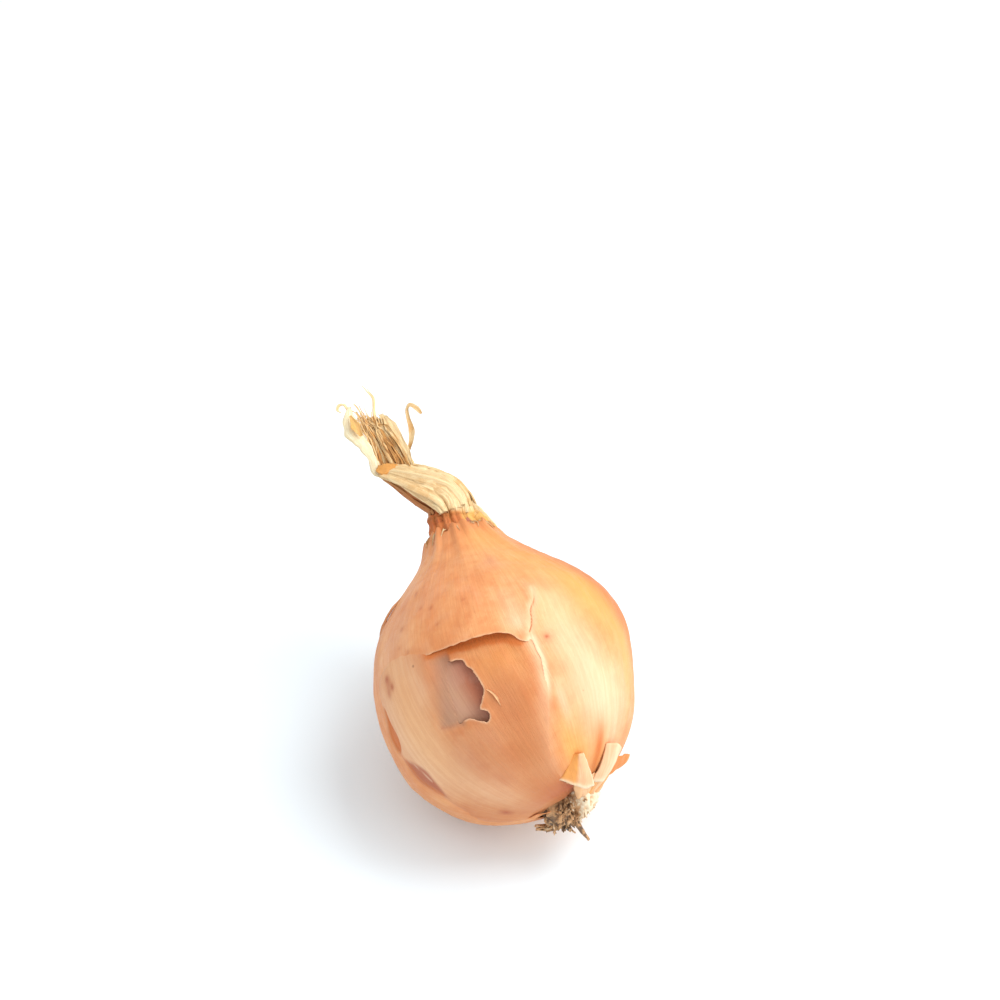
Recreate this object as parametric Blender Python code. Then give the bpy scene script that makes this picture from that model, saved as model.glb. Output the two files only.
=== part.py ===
"""A shallot lying on its side, with one object for each of its natural pieces.

The frame is +Z up, in metres, with the origin at the middle of the small flat spot that the
bulb rests on. The bulb's crooked axis runs from the root end, low at the front right, to the
neck, high at the back left. Three layers show where the papery skin is torn: the outer skin,
the tight inner skin under it, and the flesh of the bulb through a ragged hole.
"""

import math
import random

import bmesh
import bpy
from mathutils import Vector

MM = 0.001

# Driving dimensions, in millimetres unless a name says otherwise.
BULB_RADIUS = 21.5
ROOT_END = 21.3  # from the bulb's middle to the root end, along the axis
ROOT_SQUARENESS = 2.05  # power of the superellipse that rounds the root half
ROOT_RIM_RADIUS = 4.2  # where the skins stop round the root plate
NECK_END = 29.0  # from the bulb's middle to where the skin gathers into the dry neck
NECK_RADIUS = 2.9
SHOULDER_REACH = 21.7  # how far up the axis the shoulder carries before it falls to the neck
SHOULDER_POWER = 3.06
BEND_LENGTH = 6.0  # stretch of the axis over which it bends from root to neck
SWAY = 0.7  # how far the axis sways to +X on the neck side, and to -X on the root side
SWAY_REACH = 12.0  # how far from the bulb's middle the sway is greatest
FLAT_DEPTH = 0.9  # how deep the resting flat cuts into the round bulb
WALL = 0.3  # thickness of each papery skin
GAP = 0.3  # air between one layer and the next
SEGMENTS = 40  # round the bulb
LANE = 360 / SEGMENTS

# The axis lies close to a plane that leans back from the vertical by this much.
LEAN = math.radians(50)
SIDE = Vector((1, 0, 0))
RISE = Vector((0, math.sin(LEAN), math.cos(LEAN)))
BACK = Vector((0, math.cos(LEAN), -math.sin(LEAN)))
MIDDLE = Vector((0, 0, BULB_RADIUS - FLAT_DEPTH))

# Depths below the outer skin's outside face.
INNER_SKIN_DEPTH = WALL + GAP
FLESH_DEPTH = 2 * (WALL + GAP)

# Openings in the skins, as (lowest, highest) along the axis and round it in degrees.
WINDOW_ALONG = (-30.0, 4.6)
WINDOW_TURN = (-90.0, -9.0)
HOLE_ALONG = (-6.0, 2.6)
HOLE_TURN = (-54.0, -27.0)

MATERIALS = {
    "flesh": ((0.48, 0.27, 0.22), 0.5),
    "inner_skin": ((0.62, 0.29, 0.12), 0.45),
    "outer_skin": ((0.74, 0.38, 0.17), 0.4),
    "straw": ((0.78, 0.56, 0.29), 0.7),
    "brown_fibre": ((0.30, 0.16, 0.07), 0.85),
    "root": ((0.50, 0.36, 0.22), 0.9),
}


def leaning(side, rise, back=0.0):
    """A point or direction given across, up and behind the leaning plane."""
    return SIDE * side + RISE * rise + BACK * back


NECK_WAY = leaning(-0.29, 0.964, 0.24).normalized()
ROOT_WAY = leaning(0.50, -0.823, -0.18).normalized()


def spine(along):
    """Centre and heading of the crooked axis, at a distance from the bulb's middle."""
    hypotenuse = math.hypot(along, BEND_LENGTH)
    to_neck = (hypotenuse + along) / 2
    to_root = (hypotenuse - along) / 2
    share = along / SWAY_REACH
    sway = SWAY * share * math.exp((1 - share**2) / 2)
    centre = MIDDLE + NECK_WAY * to_neck + ROOT_WAY * to_root + SIDE * sway
    heading = NECK_WAY * to_neck - ROOT_WAY * to_root
    return centre, heading.normalized()


def skin_radius(along):
    """Radius of the outer skin's outside at a distance along the axis."""
    if along < 0:
        share = min(1.0, -along / ROOT_END)
        return BULB_RADIUS * (1 - share**ROOT_SQUARENESS) ** (1 / ROOT_SQUARENESS)
    fall = math.exp(-((along / SHOULDER_REACH) ** SHOULDER_POWER))
    return NECK_RADIUS + (BULB_RADIUS - NECK_RADIUS) * fall


def lobes(turn):
    """Slight departure of the bulb from round."""
    return 1 + 0.010 * math.cos(2 * turn + 0.8) + 0.007 * math.cos(3 * turn - 1.1)


def round_point(along, turn):
    """A point of the outer skin's outside, before the resting flat. Turn 0 faces up."""
    centre, heading = spine(along)
    facing = (Vector((0, 0, 1)) - heading * heading.z).normalized()
    across = heading.cross(facing)
    outward = facing * math.cos(turn) + across * math.sin(turn)
    return centre + outward * skin_radius(along) * lobes(turn)


def skin_point(along, turn, depth):
    """A point at a depth below the outer skin, no lower than its own layer's flat."""
    step = 0.02
    up_axis = round_point(along + step, turn) - round_point(along - step, turn)
    round_axis = round_point(along, turn + step) - round_point(along, turn - step)
    outward = round_axis.cross(up_axis).normalized()
    point = round_point(along, turn) - outward * depth
    point.z = max(point.z, depth)
    return point


def stations(rim_radius, neck_end, root_steps=10, neck_steps=12):
    """Distances along the axis, from where the root half has a rim radius to the neck."""
    angles = [math.pi / 2 * i / root_steps for i in range(root_steps)]
    first = math.asin(rim_radius / BULB_RADIUS)
    root_half = []
    for angle in angles:
        share = math.sin(first + angle * (1 - 2 * first / math.pi))
        fall = (1 - share**ROOT_SQUARENESS) ** (1 / ROOT_SQUARENESS)
        root_half.append(-ROOT_END * fall)
    return root_half + [neck_end * i / neck_steps for i in range(neck_steps + 1)]


def make_material(name):
    """One of the shallot's finishes, as a Principled BSDF."""
    colour, roughness = MATERIALS[name]
    material = bpy.data.materials.new(name)
    material.use_nodes = True
    shader = material.node_tree.nodes["Principled BSDF"]
    shader.inputs["Base Color"].default_value = (*colour, 1)
    shader.inputs["Roughness"].default_value = roughness
    shader.inputs["Metallic"].default_value = 0.0
    return material


def add_object(name, mesh, material):
    """Puts a mesh, whose points are in millimetres, into the scene in metres."""
    for vertex in mesh.vertices:
        vertex.co *= MM
    mesh.materials.append(bpy.data.materials[material])
    mesh.shade_smooth()
    mesh.set_sharp_from_angle(angle=math.radians(40))
    made = bpy.data.objects.new(name, mesh)
    bpy.context.collection.objects.link(made)
    return made


def loft(name, rings, material):
    """A closed solid through rings of points that all run the same way round."""
    mesh = bmesh.new()
    loops = [[mesh.verts.new(point) for point in ring] for ring in rings]
    count = len(loops[0])
    for low, high in zip(loops, loops[1:]):
        for i in range(count):
            j = (i + 1) % count
            mesh.faces.new((low[i], low[j], high[j], high[i]))
    mesh.faces.new(loops[0][::-1])
    mesh.faces.new(loops[-1])
    bmesh.ops.recalc_face_normals(mesh, faces=mesh.faces)
    data = bpy.data.meshes.new(name)
    mesh.to_mesh(data)
    mesh.free()
    return add_object(name, data, material)


def make_bulb():
    """The flesh of the bulb, closed at both ends."""
    turns = [math.radians(LANE * i) for i in range(SEGMENTS)]
    rings = [
        [skin_point(along, turn, FLESH_DEPTH) for turn in turns]
        for along in stations(ROOT_RIM_RADIUS - 1.0, NECK_END - 1.0)
    ]
    return loft("bulb", rings, "flesh")


def in_opening(along, turn, along_limits, turn_limits):
    """Whether a patch's middle lies in an opening. Turn is in degrees from -180 to 180."""
    return along_limits[0] < along < along_limits[1] and turn_limits[0] < turn < turn_limits[1]


def make_skin(name, depth, neck_end, along_limits, turn_limits):
    """A papery skin: a sheet round the bulb with an opening, given its wall by Solidify."""
    steps = stations(ROOT_RIM_RADIUS, neck_end)
    mesh = bmesh.new()
    rows = []
    for along in steps:
        turns = (math.radians(LANE * i) for i in range(SEGMENTS))
        rows.append([mesh.verts.new(skin_point(along, turn, depth)) for turn in turns])
    for k in range(len(steps) - 1):
        for i in range(SEGMENTS):
            along = (steps[k] + steps[k + 1]) / 2
            turn = (LANE * (i + 0.5) + 180) % 360 - 180
            if in_opening(along, turn, along_limits, turn_limits):
                continue
            j = (i + 1) % SEGMENTS
            mesh.faces.new((rows[k][i], rows[k][j], rows[k + 1][j], rows[k + 1][i]))
    loose = [vertex for vertex in mesh.verts if not vertex.link_faces]
    bmesh.ops.delete(mesh, geom=loose, context="VERTS")
    data = bpy.data.meshes.new(name)
    mesh.to_mesh(data)
    mesh.free()
    made = add_object(name, data, name)
    wall = made.modifiers.new("Wall", "SOLIDIFY")
    wall.thickness = WALL * MM
    wall.offset = -1
    wall.use_even_offset = True
    return made


def spread(values, share):
    """The value at a share, from 0 to 1, of the way along a list of evenly spaced values."""
    place = share * (len(values) - 1)
    low = min(int(place), len(values) - 2)
    return values[low] + (values[low + 1] - values[low]) * (place - low)


def smooth_path(points, steps):
    """Points read from a Catmull-Rom curve through a few points."""
    ends = [points[0] * 2 - points[1], *points, points[-1] * 2 - points[-2]]
    path = []
    for k in range(len(points) - 1):
        before, start, end, after = ends[k : k + 4]
        for i in range(steps):
            s = i / steps
            path.append(
                0.5
                * (
                    2 * start
                    + (end - before) * s
                    + (2 * before - 5 * start + 4 * end - after) * s**2
                    + (3 * start - before - 3 * end + after) * s**3
                )
            )
    return [*path, points[-1]]


def placed(*points):
    """Points in the model's frame, from points given across, up and behind the leaning plane."""
    return [MIDDLE + leaning(*point) for point in points]


def make_leaf(name, points, widths, thicknesses, material, facing=(0, 0, -1), steps=3, sides=8):
    """A dried leaf or flap: an oval section carried along a curve, its flat side to facing."""
    path = smooth_path(points, steps)
    flat_side = leaning(*facing).normalized()
    rings = []
    for k, centre in enumerate(path):
        heading = (path[min(k + 1, len(path) - 1)] - path[max(k - 1, 0)]).normalized()
        across = heading.cross(flat_side).normalized()
        out = across.cross(heading)
        share = k / (len(path) - 1)
        half_width = spread(widths, share) / 2
        half_thickness = spread(thicknesses, share) / 2
        ring = []
        for i in range(sides):
            angle = 2 * math.pi * i / sides
            ring.append(
                centre
                + across * half_width * math.cos(angle)
                + out * half_thickness * math.sin(angle)
            )
        rings.append(ring)
    return loft(name, rings, material)


def make_strand(name, points, radii, material):
    """A thin round fibre: a bevelled curve with filled caps."""
    curve = bpy.data.curves.new(name, "CURVE")
    curve.dimensions = "3D"
    curve.bevel_depth = MM
    curve.bevel_resolution = 1
    curve.use_fill_caps = True
    path = smooth_path(points, 3)
    spline = curve.splines.new("POLY")
    spline.points.add(len(path) - 1)
    for k, (knot, point) in enumerate(zip(spline.points, path)):
        knot.co = (*(point * MM), 1)
        knot.radius = spread(radii, k / (len(path) - 1))
    curve.materials.append(bpy.data.materials[material])
    made = bpy.data.objects.new(name, curve)
    bpy.context.collection.objects.link(made)
    return made


def make_neck():
    """The dry neck: a folded sheath, then the leaves and fibres that it opens into."""
    collar = 1.9 * skin_radius(NECK_END)
    make_leaf(
        "neck_sheath",
        [
            spine(NECK_END + 3 * GAP)[0],
            spine(NECK_END + 2.6)[0],
            *placed((-11.2, 31.9, 6.9), (-15.2, 33.8, 6.9), (-19.4, 35.6, 6.9)),
        ],
        [collar, 7.2, 6.0, 5.0, 3.4],
        [collar, 5.6, 4.4, 3.2, 2.2],
        "straw",
        sides=16,
    )
    make_leaf(
        "neck_fold",
        placed((0.5, 25.5, 6.0), (-1.5, 28.1, 6.6), (-3.4, 30.5, 7.2)),
        [0.9, 1.8, 1.6],
        [0.7, 0.7, 0.6],
        "straw",
    )
    make_leaf(
        "pale_leaf",
        placed((-20.2, 36.4, 6.8), (-22.6, 39.2, 6.6), (-25.9, 42.8, 6.6), (-26.0, 46.4, 6.9)),
        [1.6, 1.8, 1.6, 0.7],
        [0.8, 0.6, 0.5, 0.4],
        "straw",
        facing=(0.4, 0, -1),
    )
    make_leaf(
        "brown_core",
        placed((-18.3, 37.9, 7.0), (-20.4, 40.6, 7.0), (-22.9, 44.2, 7.0), (-24.2, 46.6, 7.1)),
        [2.4, 3.0, 2.4, 1.0],
        [1.6, 1.8, 1.4, 0.8],
        "brown_fibre",
    )
    make_leaf(
        "frayed_leaf",
        placed((-16.0, 37.6, 6.9), (-17.4, 40.6, 6.6), (-19.6, 44.2, 6.7), (-20.6, 46.2, 6.9)),
        [1.6, 1.8, 1.4, 0.8],
        [0.8, 0.7, 0.6, 0.5],
        "straw",
    )
    level = 6.9  # how far behind the leaning plane the fibres lie
    strands = {
        "curled_strand": (
            [(-14.4, 37.0), (-15.4, 42.2), (-16.3, 46.0), (-15.2, 46.7), (-14.0, 45.6)],
            [0.4, 0.35, 0.3, 0.25],
        ),
        "wisp": ([(-21.2, 44.4), (-21.7, 47.2), (-22.3, 48.7), (-23.5, 50.4)], [0.22, 0.22]),
        "tip_fibre": ([(-26.2, 46.9), (-26.7, 47.5), (-27.3, 46.9)], [0.3, 0.22]),
    }
    for name, (points, radii) in strands.items():
        make_strand(name, placed(*((*point, level) for point in points)), radii, "straw")


def root_point(across, up, out):
    """A point by the root plate: across it, towards the top of it, and out from its face."""
    heading = -ROOT_WAY
    facing = (Vector((0, 0, 1)) - heading * heading.z).normalized()
    sideways = heading.cross(facing)
    centre = spine(-ROOT_END)[0]
    return centre + sideways * across + facing * up + ROOT_WAY * out


def make_root_plate():
    """The knob of dry tissue that the roots grow from."""
    profile = ((3.2, 0.1), (3.9, 0.6), (3.7, 1.3), (2.7, 1.9), (1.2, 2.2))
    sides = 16
    rings = []
    for radius, out in profile:
        angles = (2 * math.pi * i / sides for i in range(sides))
        rings.append(
            [root_point(radius * math.cos(a), radius * math.sin(a), out) for a in angles]
        )
    return loft("root_plate", rings, "root")


def make_roots():
    """Trimmed root stubs in a ring on the plate, and one long stub left hanging."""
    rng = random.Random(7)
    count = 7
    for k in range(count):
        angle = 2 * math.pi * k / count + 0.3
        reach = rng.uniform(1.6, 2.6)
        splay = rng.uniform(0.7, 1.3)
        across, up = math.cos(angle), math.sin(angle)
        route = [
            root_point(across * 2.5, up * 2.5, 2.7),
            root_point(across * (2.6 + splay * 0.5), up * (2.6 + splay * 0.5), 2.7 + reach * 0.5),
            root_point(across * (2.6 + splay), up * (2.6 + splay), 2.7 + reach),
        ]
        make_strand(f"root_stub_{k + 1}", route, [0.55, 0.45, 0.3], "root")
    route = [root_point(0.2, 0.3, 2.8), root_point(0.4, -0.7, 4.3), root_point(-0.3, -2.0, 5.8)]
    make_strand("long_root", route, [0.6, 0.5, 0.3], "root")


def standing_off(*points):
    """Points that stand off the outer skin, from (along, turn in degrees, height)."""
    return [skin_point(along, math.radians(turn), -height) for along, turn, height in points]


def make_skin_tabs():
    """Torn flaps of papery skin that stand up round the root plate."""
    tabs = {
        "wide_tab": (standing_off((-20.5, -4, 0.7), (-19.0, -7, 1.4), (-16.6, 0, 1.5)), [3.0, 3.6, 1.4]),
        "narrow_tab": (standing_off((-20.3, 35, 0.8), (-19.0, 33, 1.3), (-17.4, 32, 1.4)), [1.8, 1.8, 1.4]),
        "side_tab": (standing_off((-20.1, 68, 0.8), (-19.2, 74, 1.3), (-17.9, 78, 1.6)), [1.0, 1.8, 1.2]),
    }
    for name, (points, widths) in tabs.items():
        facing = (0.5, -0.3, -1)
        make_leaf(name, points, widths, [0.5, 0.5, 0.4], "outer_skin", facing)


def main():
    """Clears the scene and builds every piece of the shallot."""
    for old in list(bpy.data.objects):
        bpy.data.objects.remove(old)
    for name in MATERIALS:
        make_material(name)
    make_bulb()
    make_skin("inner_skin", INNER_SKIN_DEPTH, NECK_END - 0.5, HOLE_ALONG, HOLE_TURN)
    make_skin("outer_skin", 0.0, NECK_END, WINDOW_ALONG, WINDOW_TURN)
    make_neck()
    make_root_plate()
    make_roots()
    make_skin_tabs()


main()
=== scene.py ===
"""One whole shallot, dressed round its CAD frame: torn papery skins, a dry neck and trimmed roots.

Lengths are in millimetres until a mesh is made. A place on the bulb is (along, turn, height): along
runs from the root end to the neck, turn is in degrees round that line from the top, and height stands
off the skin. A place in the neck or tuft is (side, rise, back), measured from the middle of the bulb in
a tilted set of axes.
"""

import logging
import math
from dataclasses import dataclass
from enum import Enum
from typing import Any, Iterable, Sequence

import bpy
import numpy as np
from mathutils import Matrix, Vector


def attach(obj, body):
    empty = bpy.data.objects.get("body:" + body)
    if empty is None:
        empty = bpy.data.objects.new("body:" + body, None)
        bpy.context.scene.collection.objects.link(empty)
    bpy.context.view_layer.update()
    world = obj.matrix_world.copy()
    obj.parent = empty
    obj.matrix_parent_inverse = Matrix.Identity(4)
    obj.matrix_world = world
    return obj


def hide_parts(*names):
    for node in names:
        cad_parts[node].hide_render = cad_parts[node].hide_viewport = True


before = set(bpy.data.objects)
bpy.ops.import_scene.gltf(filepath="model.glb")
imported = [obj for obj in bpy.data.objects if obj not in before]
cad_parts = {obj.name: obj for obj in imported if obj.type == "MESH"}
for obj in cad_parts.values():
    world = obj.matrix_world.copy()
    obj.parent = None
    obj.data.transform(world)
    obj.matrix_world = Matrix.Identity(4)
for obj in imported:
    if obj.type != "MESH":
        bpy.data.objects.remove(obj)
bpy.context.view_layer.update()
MM = 0.001
LOG = logging.getLogger("shallot")

Stop = tuple[float, float]
Point = tuple[float, float, float]
Faces = list[tuple[int, ...]]
Colour = tuple[float, float, float]


class Slot(Enum):
    """The material slots."""

    FLESH = "flesh"
    INNER = "inner_skin"
    OUTER = "outer_skin"
    STRAW = "straw"
    FIBRE = "brown_fibre"
    ROOT = "root"


# ---------------------------------------------------------------- numbers


def ease(low: float, high: float, value: np.ndarray) -> np.ndarray:
    """Goes smoothly from 0 where value is low to 1 where it is high."""
    share = np.clip((value - low) / (high - low), 0.0, 1.0)
    return share * share * (3 - 2 * share)


def swell(distance: np.ndarray, reach: float) -> np.ndarray:
    """Falls smoothly from 1 at no distance to about a third at reach."""
    return np.exp(-((distance / reach) ** 2))


def unit(vectors: np.ndarray) -> np.ndarray:
    """Scales each vector to length 1."""
    return vectors / np.linalg.norm(vectors, axis=-1, keepdims=True)


def flowing(stops: Sequence[Sequence[float]], steps: int, closed: bool = False) -> np.ndarray:
    """Runs a smooth curve through some stops.

    Args:
        stops: The stops, each with the same count of numbers.
        steps: How many pieces each span is cut into.
        closed: True where the last stop joins the first.

    Returns:
        The curve's points, one row each.
    """
    known = np.array(stops, float)
    if closed:
        known = np.vstack([known[-1:], known, known[:2]])
    else:
        known = np.vstack([2 * known[0] - known[1], known, 2 * known[-1] - known[-2]])
    share = np.arange(steps)[:, None] / steps
    rows = []
    for a, b, c, d in zip(known[:-3], known[1:-2], known[2:-1], known[3:]):
        twist = 3 * (b - c) + d - a
        rows.append(b + 0.5 * share * (c - a + share * (2 * a - 5 * b + 4 * c - d + share * twist)))
    if not closed:
        rows.append(known[-2:-1])
    return np.vstack(rows)


class Ripple:
    """Smooth seeded unevenness through space, about -1 to 1."""

    def __init__(self, seed: int, finest: float, coarsest: float, waves: int = 14) -> None:
        """Draws the waves.

        Args:
            seed: Fixes the draw.
            finest: The shortest wave, in the units of the points.
            coarsest: The longest wave.
            waves: How many waves are added up.
        """
        draw = np.random.default_rng(seed)
        lengths = finest * (coarsest / finest) ** draw.random(waves)
        self.ways = unit(draw.normal(size=(waves, 3))) * (2 * math.pi / lengths)[:, None]
        self.shifts = draw.random(waves) * 2 * math.pi
        self.weights = (lengths / lengths.max()) ** 0.5
        self.weights /= math.sqrt((self.weights**2).sum() / 2) * 1.6

    def __call__(self, points: np.ndarray) -> np.ndarray:
        """Gives the unevenness at each point."""
        return np.sin(points @ self.ways.T + self.shifts) @ self.weights


# ---------------------------------------------------------------- the bulb's surface


@dataclass(frozen=True)
class BulbShape:
    """The bulb's outside as the frame has it, in millimetres."""

    radius: float = 21.5
    root_end: float = 21.3
    squareness: float = 2.05
    neck_end: float = 29.0
    neck_radius: float = 2.9
    shoulder_reach: float = 21.7
    shoulder_power: float = 3.06
    bend: float = 6.0
    sway: float = 0.7
    sway_reach: float = 12.0
    flat: float = 0.9
    lean: float = math.radians(50)
    lobes: tuple[Point, ...] = ((2.0, 0.8, 0.010), (3.0, -1.1, 0.007))

    @property
    def axes(self) -> np.ndarray:
        """The side, rise and back ways, one row each."""
        sine, cosine = math.sin(self.lean), math.cos(self.lean)
        return np.array([(1, 0, 0), (0, sine, cosine), (0, cosine, -sine)])

    @property
    def middle(self) -> np.ndarray:
        """The middle of the bulb."""
        return np.array((0, 0, self.radius - self.flat))

    @property
    def neck_way(self) -> np.ndarray:
        """The way the neck points."""
        return unit(np.array((-0.29, 0.964, 0.24)) @ self.axes)

    @property
    def root_way(self) -> np.ndarray:
        """The way the root end points."""
        return unit(np.array((0.50, -0.823, -0.18)) @ self.axes)

    def placed(self, places: Sequence[Point] | np.ndarray) -> np.ndarray:
        """Turns (side, rise, back) places into points."""
        return self.middle + np.asarray(places, float) @ self.axes

    def measured(self, points: np.ndarray) -> np.ndarray:
        """Turns points back into (side, rise, back) places."""
        return (np.asarray(points, float) - self.middle) @ self.axes.T

    def spine(self, along: np.ndarray) -> tuple[np.ndarray, np.ndarray]:
        """Follows the curved middle line of the bulb.

        Args:
            along: Places along the line.

        Returns:
            The points of the line, and the way it heads at each.
        """
        along = np.asarray(along, float)[..., None]
        whole = np.hypot(along, self.bend)
        to_neck, to_root = (whole + along) / 2, (whole - along) / 2
        share = along / self.sway_reach
        sway = self.sway * share * np.exp((1 - share**2) / 2)
        centre = self.middle + self.neck_way * to_neck + self.root_way * to_root + self.axes[0] * sway
        return centre, unit(self.neck_way * to_neck - self.root_way * to_root)

    def girth(self, along: np.ndarray) -> np.ndarray:
        """Gives the skin's radius at each place along the bulb."""
        along = np.asarray(along, float)
        share = np.clip(-along / self.root_end, 0, 1)
        rootward = self.radius * (1 - share**self.squareness) ** (1 / self.squareness)
        fall = (np.clip(along, 0, None) / self.shoulder_reach) ** self.shoulder_power
        neckward = self.neck_radius + (self.radius - self.neck_radius) * np.exp(-fall)
        return np.where(along < 0, rootward, neckward)

    def skin(self, along: np.ndarray, turn: np.ndarray) -> np.ndarray:
        """Gives points on the round skin, before the flat spot; turn is in radians."""
        centre, heading = self.spine(along)
        facing = unit(np.array((0, 0, 1.0)) - heading * heading[..., 2:3])
        across = np.cross(heading, facing)
        lobes = 1.0
        for count, shift, size in self.lobes:
            lobes = lobes + size * np.cos(count * turn + shift)
        out = facing * np.cos(turn)[..., None] + across * np.sin(turn)[..., None]
        return centre + out * (self.girth(along) * lobes)[..., None]

    def raised(self, along: np.ndarray, turn: np.ndarray, height: np.ndarray | float) -> np.ndarray:
        """Stands points off the skin, and presses them flat where the bulb rests.

        Args:
            along: Places along the bulb.
            turn: Places round it, in degrees.
            height: How far each point stands off the skin.

        Returns:
            The points.
        """
        along, turn = np.asarray(along, float), np.radians(turn)
        height = np.broadcast_to(np.asarray(height, float), along.shape)
        step = 1e-3
        onward = self.skin(along + step, turn) - self.skin(along - step, turn)
        round_way = self.skin(along, turn + step) - self.skin(along, turn - step)
        points = self.skin(along, turn) + unit(np.cross(round_way, onward)) * height[..., None]
        points[..., 2] = np.maximum(points[..., 2], np.maximum(0.0, -height))
        return points


SHAPE = BulbShape()


@dataclass(frozen=True)
class Track:
    """A line drawn on the skin through (along, turn) stops."""

    stops: tuple[Stop, ...]
    closed: bool = False
    steps: int = 5

    def bends(self) -> np.ndarray:
        """The smooth line's own (along, turn) places."""
        return flowing(self.stops, self.steps, self.closed)

    def gap(self, points: np.ndarray) -> np.ndarray:
        """Measures how far each point is from the line."""
        bends = self.bends()
        line = SHAPE.raised(bends[:, 0], bends[:, 1], 0.0)
        if self.closed:
            line = np.vstack([line, line[:1]])
        best = np.full(len(points), 1e6)
        for start, end in zip(line[:-1], line[1:]):
            way = end - start
            share = np.clip((points - start) @ way / max(way @ way, 1e-9), 0, 1)
            best = np.minimum(best, ((points - start - share[:, None] * way) ** 2).sum(1))
        return np.sqrt(best)

    def outside(self, along: np.ndarray, turn: np.ndarray, points: np.ndarray) -> np.ndarray:
        """Measures the way out of a closed line: above 0 outside it, below 0 inside."""
        bends = self.bends()
        inside = np.zeros(len(along), bool)
        for (a1, t1), (a2, t2) in zip(bends, np.roll(bends, -1, 0)):
            if t1 == t2:
                continue
            crosses = ((turn > t1) != (turn > t2)) & (along < a1 + (a2 - a1) * (turn - t1) / (t2 - t1))
            inside ^= crosses
        return np.where(inside, -1, 1) * self.gap(points)


@dataclass(frozen=True)
class Spot:
    """A soft spot on the skin: a stain, a patch of painted shade or highlight, or a lift."""

    along: float
    turn: float
    long: float
    wide: float
    strength: float

    def __call__(self, along: np.ndarray, turn: np.ndarray) -> np.ndarray:
        """Gives the stain's strength at each place."""
        off = (turn - self.turn + 180) % 360 - 180
        return self.strength * np.exp(-(((along - self.along) / self.long) ** 2) - (off / self.wide) ** 2)


def spots(*rows: tuple[float, ...]) -> tuple[Spot, ...]:
    """Makes soft spots from (along, turn, long, wide, strength) rows."""
    return tuple(Spot(*row) for row in rows)


def spotted(stains: Iterable[Spot], along: np.ndarray, turn: np.ndarray) -> np.ndarray:
    """Lays several soft spots over each other."""
    clear = np.ones(len(along))
    for spot in stains:
        clear *= 1 - np.clip(spot(along, turn), 0, 1)
    return 1 - clear


def overlaid(under: np.ndarray, over: np.ndarray) -> np.ndarray:
    """Lays one stain over another."""
    return 1 - (1 - under) * (1 - over)


# ---------------------------------------------------------------- meshes


def grid_faces(rows: int, columns: int, wrap: bool = False, turned: bool = False) -> Faces:
    """Makes the faces of a grid of points.

    Args:
        rows: How many rows there are.
        columns: How many points each row has.
        wrap: True where each row's end joins its start.
        turned: True where the faces look the other way.

    Returns:
        The faces.
    """
    faces = []
    for row in range(rows - 1):
        for column in range(columns if wrap else columns - 1):
            here, there = row * columns + column, row * columns + (column + 1) % columns
            face = (here, there, there + columns, here + columns)
            faces.append((here, *face[:0:-1]) if turned else face)
    return faces


def resampled(share: np.ndarray, stops: np.ndarray) -> np.ndarray:
    """Reads a line of stops at each share of its length."""
    known = np.linspace(0, 1, len(stops))
    return np.stack([np.interp(share, known, stops[:, axis]) for axis in range(stops.shape[1])], 1)


@dataclass
class Sheet:
    """A grid of places on the skin, which can be cut to an outline."""

    along: np.ndarray
    turn: np.ndarray
    faces: Faces

    @classmethod
    def rings(cls, alongs: np.ndarray, turns: np.ndarray) -> "Sheet":
        """Makes rings round the bulb, joined into a tube."""
        along, turn = (grid.ravel() for grid in np.meshgrid(alongs, turns, indexing="ij"))
        return cls(along, turn, grid_faces(len(alongs), len(turns), wrap=True))

    def cut(self, keep: np.ndarray) -> "Sheet":
        """Keeps the part where keep is above 0, with a clean edge where it is 0.

        Args:
            keep: One number for each place.

        Returns:
            The sheet that is left.
        """
        along, turn = list(self.along), list(self.turn)
        stay = keep > 0
        made: dict[tuple[int, int], int] = {}
        faces: Faces = []
        for face in self.faces:
            count = sum(stay[corner] for corner in face)
            if count == len(face):
                faces.append(face)
            elif count:
                outline = []
                for here, there in zip(face, face[1:] + face[:1]):
                    if stay[here]:
                        outline.append(here)
                    if stay[here] != stay[there]:
                        pair = (min(here, there), max(here, there))
                        if pair not in made:
                            share = keep[pair[0]] / (keep[pair[0]] - keep[pair[1]])
                            share = min(max(share, 0.02), 0.98)
                            step = (turn[pair[1]] - turn[pair[0]] + 180) % 360 - 180
                            made[pair] = len(along)
                            along.append(along[pair[0]] + share * (along[pair[1]] - along[pair[0]]))
                            turn.append(turn[pair[0]] + share * step)
                        outline.append(made[pair])
                faces.append(tuple(outline))
        used = np.unique(np.concatenate([np.array(face) for face in faces]))
        place = np.full(len(along), -1)
        place[used] = np.arange(len(used))
        moved = [tuple(int(place[corner]) for corner in face) for face in faces]
        return Sheet(np.array(along)[used], np.array(turn)[used], moved)


def closed_shell(top: np.ndarray, under: np.ndarray, faces: Faces) -> tuple[np.ndarray, Faces]:
    """Closes a thin solid between two skins with the same faces.

    Args:
        top: The outer points.
        under: The inner points.
        faces: The outer faces, anticlockwise from outside.

    Returns:
        All the points, and all the faces.
    """
    count = len(top)
    solid = faces + [tuple(corner + count for corner in reversed(face)) for face in faces]
    sides = {side for face in faces for side in zip(face, face[1:] + face[:1])}
    for here, there in sides:
        if (there, here) not in sides:
            solid.append((there, here, here + count, there + count))
    return np.vstack([top, under]), solid


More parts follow.
